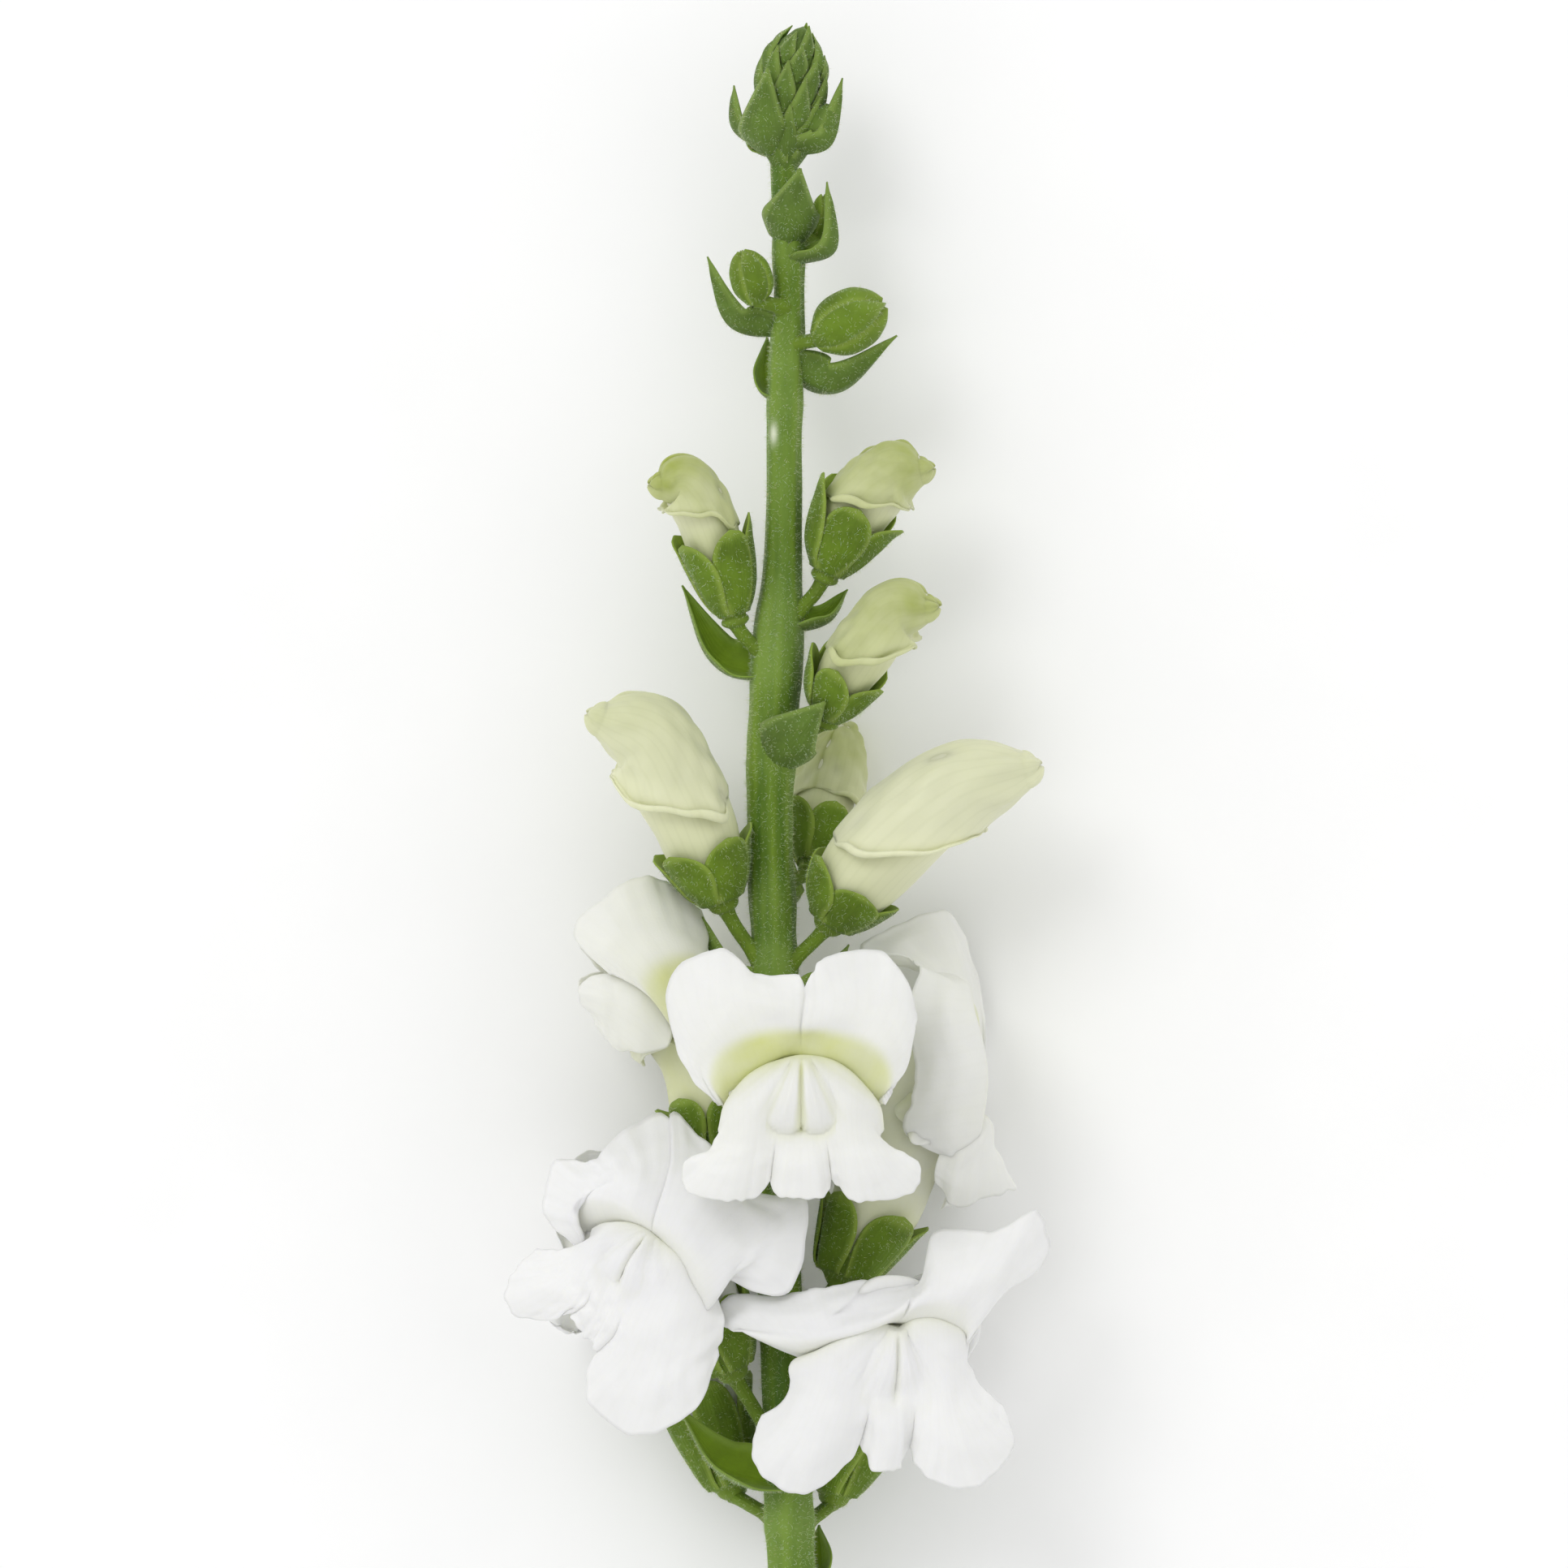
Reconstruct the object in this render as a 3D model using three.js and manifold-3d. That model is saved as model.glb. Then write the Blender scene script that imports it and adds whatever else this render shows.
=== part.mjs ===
// A cut snapdragon stem lying on a table: a leafy green stem, seven open white flowers, six white buds and
// the green buds of its tip. Millimetres. +X runs across the stem, +Y along it to the tip, +Z up from the
// table. Places are given in the stem's own frame, whose Z = 0 lies on the stem's axis; the whole is lifted at
// the end.
import * as THREE from 'three';
import Module from 'manifold-3d';

const wasm = await Module();
wasm.setup();

// ---- driving dimensions ----
const CUT_END = -133;
const NECK_END = 95;
const TIP_END = 116;
const AXIS_HEIGHT = 21.5;
const PLAN_CENTRE = { x: 0, y: -7.5 };
const PETAL = 0.8;
const SEPAL = 0.9;
const BRACT = 1.0;
const GAP = 0.35;
const HUG = 0.47;
const PEDICEL = 1.15;
const CLEFT = 1.2;
const BULGE = 0.13;

// The stem's sideways place and half thickness as [along, mm], from the cut end to the neck.
const STEM_LINE = [
  [CUT_END, 1.8], [-108, 0.6], [-90, -0.1], [-66, -1.1], [-27, -1.5], [-3, -2.3], [18, -1.2], [36, -0.2],
  [58, 0.1], [77, 0.8], [NECK_END, 0],
];
const STEM_RADIUS = [
  [CUT_END, 3.9], [-108, 3.65], [-66, 3.45], [-27, 3.4], [-3, 3.6], [18, 3.85], [36, 2.95], [58, 2.7],
  [77, 2.4], [NECK_END, 2.2],
];

// ---- small helpers ----
const vec = (p) => new THREE.Vector3(...p);
const through = (points) => new THREE.CatmullRomCurve3(points.map(vec), false, 'catmullrom', 0.5);
const clamp = THREE.MathUtils.clamp;
const rad = THREE.MathUtils.degToRad;

// Straight lines between [position, value] pairs.
function ramp(pairs, at) {
  const last = pairs.length - 1;
  if (at <= pairs[0][0]) return pairs[0][1];
  for (let i = 0; i < last; i += 1) {
    const [a, low] = pairs[i];
    const [b, high] = pairs[i + 1];
    if (at <= b) return low + ((high - low) * (at - a)) / (b - a);
  }
  return pairs[last][1];
}

// A closed mesh's vertices and triangles as a solid.
function solid(points, triangles) {
  const vertProperties = new Float32Array(points.flatMap((p) => [p.x, p.y, p.z]));
  const mesh = new wasm.Mesh({ numProp: 3, vertProperties, triVerts: new Uint32Array(triangles) });
  return new wasm.Manifold(mesh);
}

// Joins solids into one body, with a hollow that they seal filled and a loose scrap dropped.
function fuse(solids) {
  const whole = solids.reduce((a, b) => a.add(b));
  return whole.decompose().reduce((a, b) => (b.volume() > a.volume() ? b : a));
}

// A thin blade about the surface point(u, v). Both faces are split into the same triangles.
function blade(point, across, along, thickness) {
  const sheet = new THREE.PlaneGeometry(1, 1, across, along);
  const { position, uv } = sheet.attributes;
  for (let i = 0; i < position.count; i += 1) {
    const p = point(uv.getX(i), uv.getY(i));
    position.setXYZ(i, p.x, p.y, p.z);
  }
  sheet.computeVertexNormals();
  const count = position.count;
  const side = (sign) => Array.from({ length: count }, (_, i) => new THREE.Vector3()
    .fromBufferAttribute(sheet.attributes.normal, i)
    .multiplyScalar((sign * thickness) / 2)
    .add(new THREE.Vector3().fromBufferAttribute(position, i)));
  const front = Array.from(sheet.index.array);
  const triangles = [...front];
  const edges = new Map();
  for (let i = 0; i < front.length; i += 3) {
    const [a, b, c] = front.slice(i, i + 3);
    triangles.push(c + count, b + count, a + count);
    for (const [from, to] of [[a, b], [b, c], [c, a]]) {
      if (!edges.delete(`${to},${from}`)) edges.set(`${from},${to}`, [from, to]);
    }
  }
  for (const [a, b] of edges.values()) triangles.push(b, a, a + count, b, a + count, b + count);
  return solid([...side(1), ...side(-1)], triangles);
}

// A closed body through rings of points, each ring turning right-handed about the way from first to last.
function loft(rings) {
  const sides = rings[0].length;
  const last = rings.length - 1;
  const points = rings.flat();
  const triangles = [];
  for (let i = 0; i < last; i += 1) {
    for (let j = 0; j < sides; j += 1) {
      const next = (j + 1) % sides;
      const [a, b] = [i * sides + j, i * sides + next];
      triangles.push(a, b, a + sides, b, b + sides, a + sides);
    }
  }
  for (const [ring, flip] of [[0, true], [last, false]]) {
    const centre = rings[ring].reduce((a, b) => a.clone().add(b)).divideScalar(sides);
    points.push(centre);
    for (let j = 0; j < sides; j += 1) {
      const [a, b] = [ring * sides + j, ring * sides + ((j + 1) % sides)];
      triangles.push(points.length - 1, flip ? b : a, flip ? a : b);
    }
  }
  return solid(points, triangles);
}

// A frame that slides along a curve: place(s, angle, r) is the point at distance r from the curve, turned by
// angle in degrees from its right (0) towards its upper side (90).
function frameAlong(curve, up) {
  return (s, angle, r) => {
    const t = clamp(s, 0, 1);
    const tangent = curve.getTangent(t);
    const right = new THREE.Vector3().crossVectors(up, tangent).normalize();
    const upper = new THREE.Vector3().crossVectors(tangent, right);
    const centre = curve.getPoint(t).addScaledVector(tangent, (s - t) * curve.getLength());
    return centre
      .addScaledVector(right, r * Math.cos(rad(angle)))
      .addScaledVector(upper, r * Math.sin(rad(angle)));
  };
}

// A closed tube whose half thickness is radius(s, angle), with a ring at each of the stations along it.
function tube(place, radius, sides, stations) {
  return loft(stations.map((s) => Array.from({ length: sides }, (_, j) => {
    const angle = (360 * j) / sides;
    return place(s, angle, radius(s, angle));
  })));
}

// ---- stem ----
const stemCentre = (y) => new THREE.Vector3(ramp(STEM_LINE, y), y, 0);
const stemRadius = (y) => ramp(STEM_RADIUS, y);

// The point at a height on the stem and an angle round it (0 to the right, 90 up from the table), out from its
// skin.
function onStem(y, angle, out = 0) {
  const reach = stemRadius(y) + out;
  const turn = rad(angle);
  return stemCentre(y).add(new THREE.Vector3(reach * Math.cos(turn), 0, reach * Math.sin(turn)));
}

// How wide an egg-shaped leaf is at v of its length, as a share of its widest.
const leafWidth = (v) => Math.max(0.07, Math.sin(Math.PI * (0.16 + 0.84 * v) ** 0.8));

// A cupped leaf along root, belly and tip, hollow away from the side that `back` points to.
function leaf({ root, belly, tip, width, back, cup = 0.35 }, thickness = BRACT) {
  const rib = through([root, belly, tip]);
  return blade((u, v) => {
    const tangent = rib.getTangent(v);
    const side = new THREE.Vector3().crossVectors(tangent, vec(back)).normalize();
    const out = new THREE.Vector3().crossVectors(side, tangent);
    const half = (width / 2) * leafWidth(v);
    const share = 2 * u - 1;
    return rib.getPoint(v)
      .addScaledVector(side, half * share)
      .addScaledVector(out, -cup * 2 * half * share * share);
  }, 2, 4, thickness);
}

// Bracts on the stem, from the tip down: each stands below a bud or a flower.
const BRACTS = [
  { root: [0.6, 83, 1.6], belly: [1.2, 87.5, 5.6], tip: [2.5, 94.6, 6.4], width: 8.8, back: [0, -0.3, 1] },
  { root: [2, 80.2, 0.6], belly: [7.8, 82.6, 3], tip: [6.6, 92.6, 4], width: 6.4, back: [1, -0.5, 0.2] },
  {
    root: [-0.4, 69.2, -1], belly: [-8.4, 71, -0.6], tip: [-11.8, 81.2, 0.6],
    width: 7.6, back: [-0.7, -0.6, 0.35],
  },
  { root: [1, 64, 0], belly: [8.2, 61, 1.4], tip: [17.4, 69, 2.5], width: 8, back: [0.3, -0.75, 0.6] },
  { root: [0, 58.5, -1.6], belly: [-3, 62, -4.6], tip: [-2.6, 69, -7], width: 7, back: [-0.5, -0.3, -0.8] },
  {
    root: [-3, 16.5, -1.6], belly: [-10.8, 19.4, -2], tip: [-15.7, 30.6, -0.4],
    width: 8.6, back: [-0.6, -0.5, -0.6],
  },
  { root: [0.5, 23.5, -1], belly: [6.4, 25, -2], tip: [9.8, 30, -4], width: 7, back: [0.3, -0.9, -0.35] },
  {
    root: [-2, 2.6, 2.4], belly: [0.8, 6.4, 7.2], tip: [6.3, 12.6, 8.8],
    width: 9.6, back: [-0.1, -0.3, 1],
  },
  {
    root: [-2.4, -33, -0.6], belly: [-9.4, -29.8, -0.8], tip: [-12.6, -20.4, 0],
    width: 7.4, back: [-0.8, -0.5, 0.3],
  },
  {
    root: [0, -34.4, -1], belly: [6.8, -31.4, -1.5], tip: [10, -24.8, -4],
    width: 7.4, back: [0.8, -0.5, 0.2],
  },
  {
    root: [-1, -19.4, -1.8], belly: [0.6, -18.2, -9], tip: [1.4, -12, -14.6],
    width: 6.4, back: [0.2, -0.7, -0.65],
  },
  {
    root: [-0.5, -108, 1.4], belly: [-10, -105, 4], tip: [-16.2, -95.8, 5.5],
    width: 9, back: [-0.55, -0.6, -0.6],
  },
  {
    root: [2, -124.5, -1.5], belly: [5.6, -121, -5], tip: [5.4, -114.6, -9.6],
    width: 7, back: [0.5, -0.3, -0.8],
  },
];

function stemParts() {
  const rings = [];
  const steps = 12;
  for (let i = 0; i <= steps; i += 1) {
    const y = CUT_END + ((NECK_END - CUT_END) * i) / steps;
    rings.push(Array.from({ length: 9 }, (_, j) => onStem(y, (-360 * j) / 9)));
  }
  return [loft(rings), ...BRACTS.map((b) => leaf(b))];
}

// ---- flower parts in the flower's own frame ----
// x to the right and y up as one looks into the mouth, z out of it; the mouth is the origin. Each net runs
// from its root inside the tube to its rim. The left lobes are given, and the right ones mirror them.
const UPPER_LOBE = [
  [[0, 3.2, -3.6], [-2.8, 2.8, -3.6], [-4.8, 1, -3.6], [-5.6, -1.2, -3.8], [-5.6, -3.2, -4.2],
    [-5, -4.4, -5]],
  [[0.3, 0.4, 0.2], [-3.2, 0, 0], [-7, -1.8, -0.8], [-9.8, -4.4, -1.8], [-10.8, -6.4, -2.8],
    [-10.8, -8, -4.2]],
  [[0, 4.3, 2.6], [-4.2, 4, 2.9], [-9, 2.6, 2.4], [-12.6, 0, 1.2], [-13.6, -3.4, -0.2], [-12, -7, -2.4]],
  [[-0.2, 8.6, 3.2], [-5.4, 9, 3.4], [-12, 8.6, 2.8], [-16.2, 4.2, 1.2], [-16.4, -1.2, 0],
    [-12.6, -6.8, -2]],
  [[-0.3, 12, 1], [-6, 13.6, 0.2], [-13.4, 15.8, -2.2], [-19.4, 10.4, -3], [-19.2, 0.6, -2.6],
    [-13, -6.8, -2.6]],
];
// The fold of an upper lip that lies close over the palate.
const LOW_FOLD = [
  [0, 2.2, 3.2], [-4.2, 2, 3.5], [-9, 0.8, 3], [-12.6, -1.4, 1.6], [-13.6, -4, 0], [-12, -7, -2.4],
];
// Columns of the lower lip run from the seam beside its middle lobe outwards.
const LOWER_LOBE = [
  [[-1.9, -1.7, -3.3], [-3.2, -2.1, -3.5], [-4.4, -3, -3.8], [-4.8, -4.4, -4.8], [-3.6, -5.6, -6]],
  [[-3, -0.1, 1.4], [-5.6, -0.9, 1.1], [-8.6, -2.9, 0.5], [-11.4, -6.4, -0.9], [-12, -9.8, -2.8]],
  [[-3.3, -5.4, 3.7], [-5.8, -5.6, 4], [-8.6, -6.8, 3.6], [-11, -9.2, 2], [-12.4, -11.8, -1.2]],
  [[-3.8, -11.6, 3], [-6.2, -12, 3.7], [-8.8, -12.6, 3.6], [-11.4, -13.2, 2.2], [-13.6, -13.6, -0.4]],
  [[-4.4, -15.9, 2.4], [-6.8, -16.6, 3], [-10, -17.2, 3], [-13.8, -16.6, 2], [-16.8, -15, -0.2]],
  [[-4.8, -19.2, 0.6], [-7.4, -21.2, 0.2], [-11.6, -21.6, 0.2], [-17.2, -20.2, -0.4], [-20, -17, -1.4]],
];
// The half of the middle lobe: one point for each row.
const MIDDLE_LOBE = [
  [-0.7, -1.6, -3.2], [-1, 0, 1.5], [-1.1, -5.6, 3.4], [-1.4, -11.6, 2.8], [-1.9, -16.2, 3],
    [-2.5, -21.3, 1.4],
];
// How much smaller a lobe on a flower's far side is than the near one it mirrors.
const FAR_SHARE = 0.86;
const mirror = (net) => net.map((row) => row.map(([x, y, z]) => [-x, y, z]));

// Bends, lengthens and turns a net past its hinge row: `fold` throws it back about its own root, `turn` swings
// it round the mouth and `tilt` throws its top back.
function shaped(net, hinge, { fold = 0, reach = 1, turn = 0, tilt = 0 } = {}) {
  const middle = (row) => through(row).getPoint(0.5);
  const pivot = middle(net[hinge]);
  const out = middle(net[net.length - 1]).sub(pivot).setZ(0).normalize();
  const axis = new THREE.Vector3(-out.y, out.x, 0);
  return net.map((row, k) => {
    const share = Math.max(0, (k - hinge) / (net.length - 1 - hinge));
    return row.map((p) => vec(p)
      .sub(pivot)
      .multiplyScalar(1 + (reach - 1) * share)
      .applyAxisAngle(axis, rad(fold * share))
      .applyAxisAngle(new THREE.Vector3(0, 0, 1), rad(turn * share))
      .applyAxisAngle(new THREE.Vector3(1, 0, 0), rad(-tilt * share))
      .add(pivot)
      .toArray());
  });
}

// A lobe's net in the stem's frame, with the rows that the flower sets itself.
function carried(net, hinge, toStem, shape, rows) {
  return shaped(net, hinge, shape).map((row, k) => {
    if (rows[k]) return rows[k];
    return row.map((p) => vec(p).applyMatrix4(toStem).toArray());
  });
}

// The rows of a flower's near lobe, mirrored to its far side and made smaller past the fold.
function farRows(rows, toStem) {
  const back = toStem.clone().invert();
  return Object.fromEntries(Object.entries(rows).map(([k, row]) => [k, row.map((p) => {
    const q = vec(p).applyMatrix4(back).multiplyScalar(k > 2 ? FAR_SHARE : 1);
    return q.setX(-q.x).applyMatrix4(toStem).toArray();
  })]));
}

// One net for the two lobes of the upper lip, with a cleft on the middle line.
function upperLip(left, right, toStem, rows) {
  return left.map((row, k) => {
    if (rows[k]) return rows[k];
    const sunk = new THREE.Vector3(0, -0.12 * k, -0.5 * CLEFT).transformDirection(toStem);
    const middle = vec(row[0]).add(vec(right[k][0])).divideScalar(2)
      .addScaledVector(sunk, Math.hypot(0.12 * k, 0.5 * CLEFT));
    return [...row.slice(1).reverse(), middle.toArray(), ...right[k].slice(1)];
  });
}

// One net for the three lobes of the lower lip.
function lowerLip(left, right, toStem, reach, rows) {
  return left.map((row, k) => {
    const [x, y, z] = MIDDLE_LOBE[k];
    const low = k > 3 ? MIDDLE_LOBE[3][1] + (y - MIDDLE_LOBE[3][1]) * reach : y;
    const middle = rows[k] ?? [-1, 1].map((side) => (
      new THREE.Vector3(-side * x, low, z).applyMatrix4(toStem).toArray()
    ));
    return [...[...row].reverse(), ...middle, ...right[k]];
  });
}

// The petal of a net, with a rim that waves along the way the flower faces.
function petal(net, facing, turns, height, across, along) {
  const rows = net.map(through);
  return blade((u, v) => {
    const p = through(rows.map((row) => row.getPoint(u).toArray())).getPoint(v);
    const wave = height * v ** 3 * Math.sin(2 * Math.PI * turns(u));
    return p.addScaledVector(facing, wave);
  }, across, along, PETAL);
}

// The pair of bosses that closes the throat, with a cleft between them, as place along y, half width and height.
const BOSS = [[-11, 4.2, 1.7], [-8.8, 5.6, 3.1], [-4, 4.2, 2.7], [-0.6, 1.4, 0.9]];
function bosses(toStem, palate) {
  return loft(BOSS.map(([y, half, high]) => Array.from({ length: 8 }, (_, j) => {
    const angle = rad(90 - (360 * j) / 8);
    const cleft = j === 0 ? 0.8 : 0;
    return new THREE.Vector3(half * Math.cos(angle), y, 2.4 + high * Math.sin(angle) - cleft)
      .multiplyScalar(palate)
      .applyMatrix4(toStem);
  })));
}

// How thick a corolla's tube is from its base to the mouth, with a pouch on its lower side near the base.
function throat(s, angle) {
  const around = ramp([[0, 3.3], [0.12, 4.7], [0.35, 5.8], [0.7, 6.4], [1, 7.4]], s);
  const pouch = 0.9 * Math.exp(-(((s - 0.16) / 0.12) ** 2)) * Math.max(0, -Math.sin(rad(angle)));
  return around + pouch;
}

// The tube's thickness in a flower that is plumper or slimmer than the others.
const flowerRadius = ({ plump = 1 }) => (s, angle) => plump * throat(s, angle);

// The matrix that carries a flower's frame into the stem's.
function flowerMatrix({ mouth, facing, up }) {
  const z = vec(facing).normalize();
  const x = new THREE.Vector3().crossVectors(vec(up), z).normalize();
  const y = new THREE.Vector3().crossVectors(z, x);
  return new THREE.Matrix4().makeBasis(x, y, z).setPosition(vec(mouth));
}

// A flower's tube runs from its base, turns to the way it faces, and ends at the mouth.
function flowerPlace({ base, mouth, facing, up, bend = 0.38 }) {
  const [start, end] = [vec(base), vec(mouth)];
  const knee = end.clone().addScaledVector(vec(facing).normalize(), -bend * start.distanceTo(end));
  return frameAlong(new THREE.QuadraticBezierCurve3(start, knee, end), vec(up));
}

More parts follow.
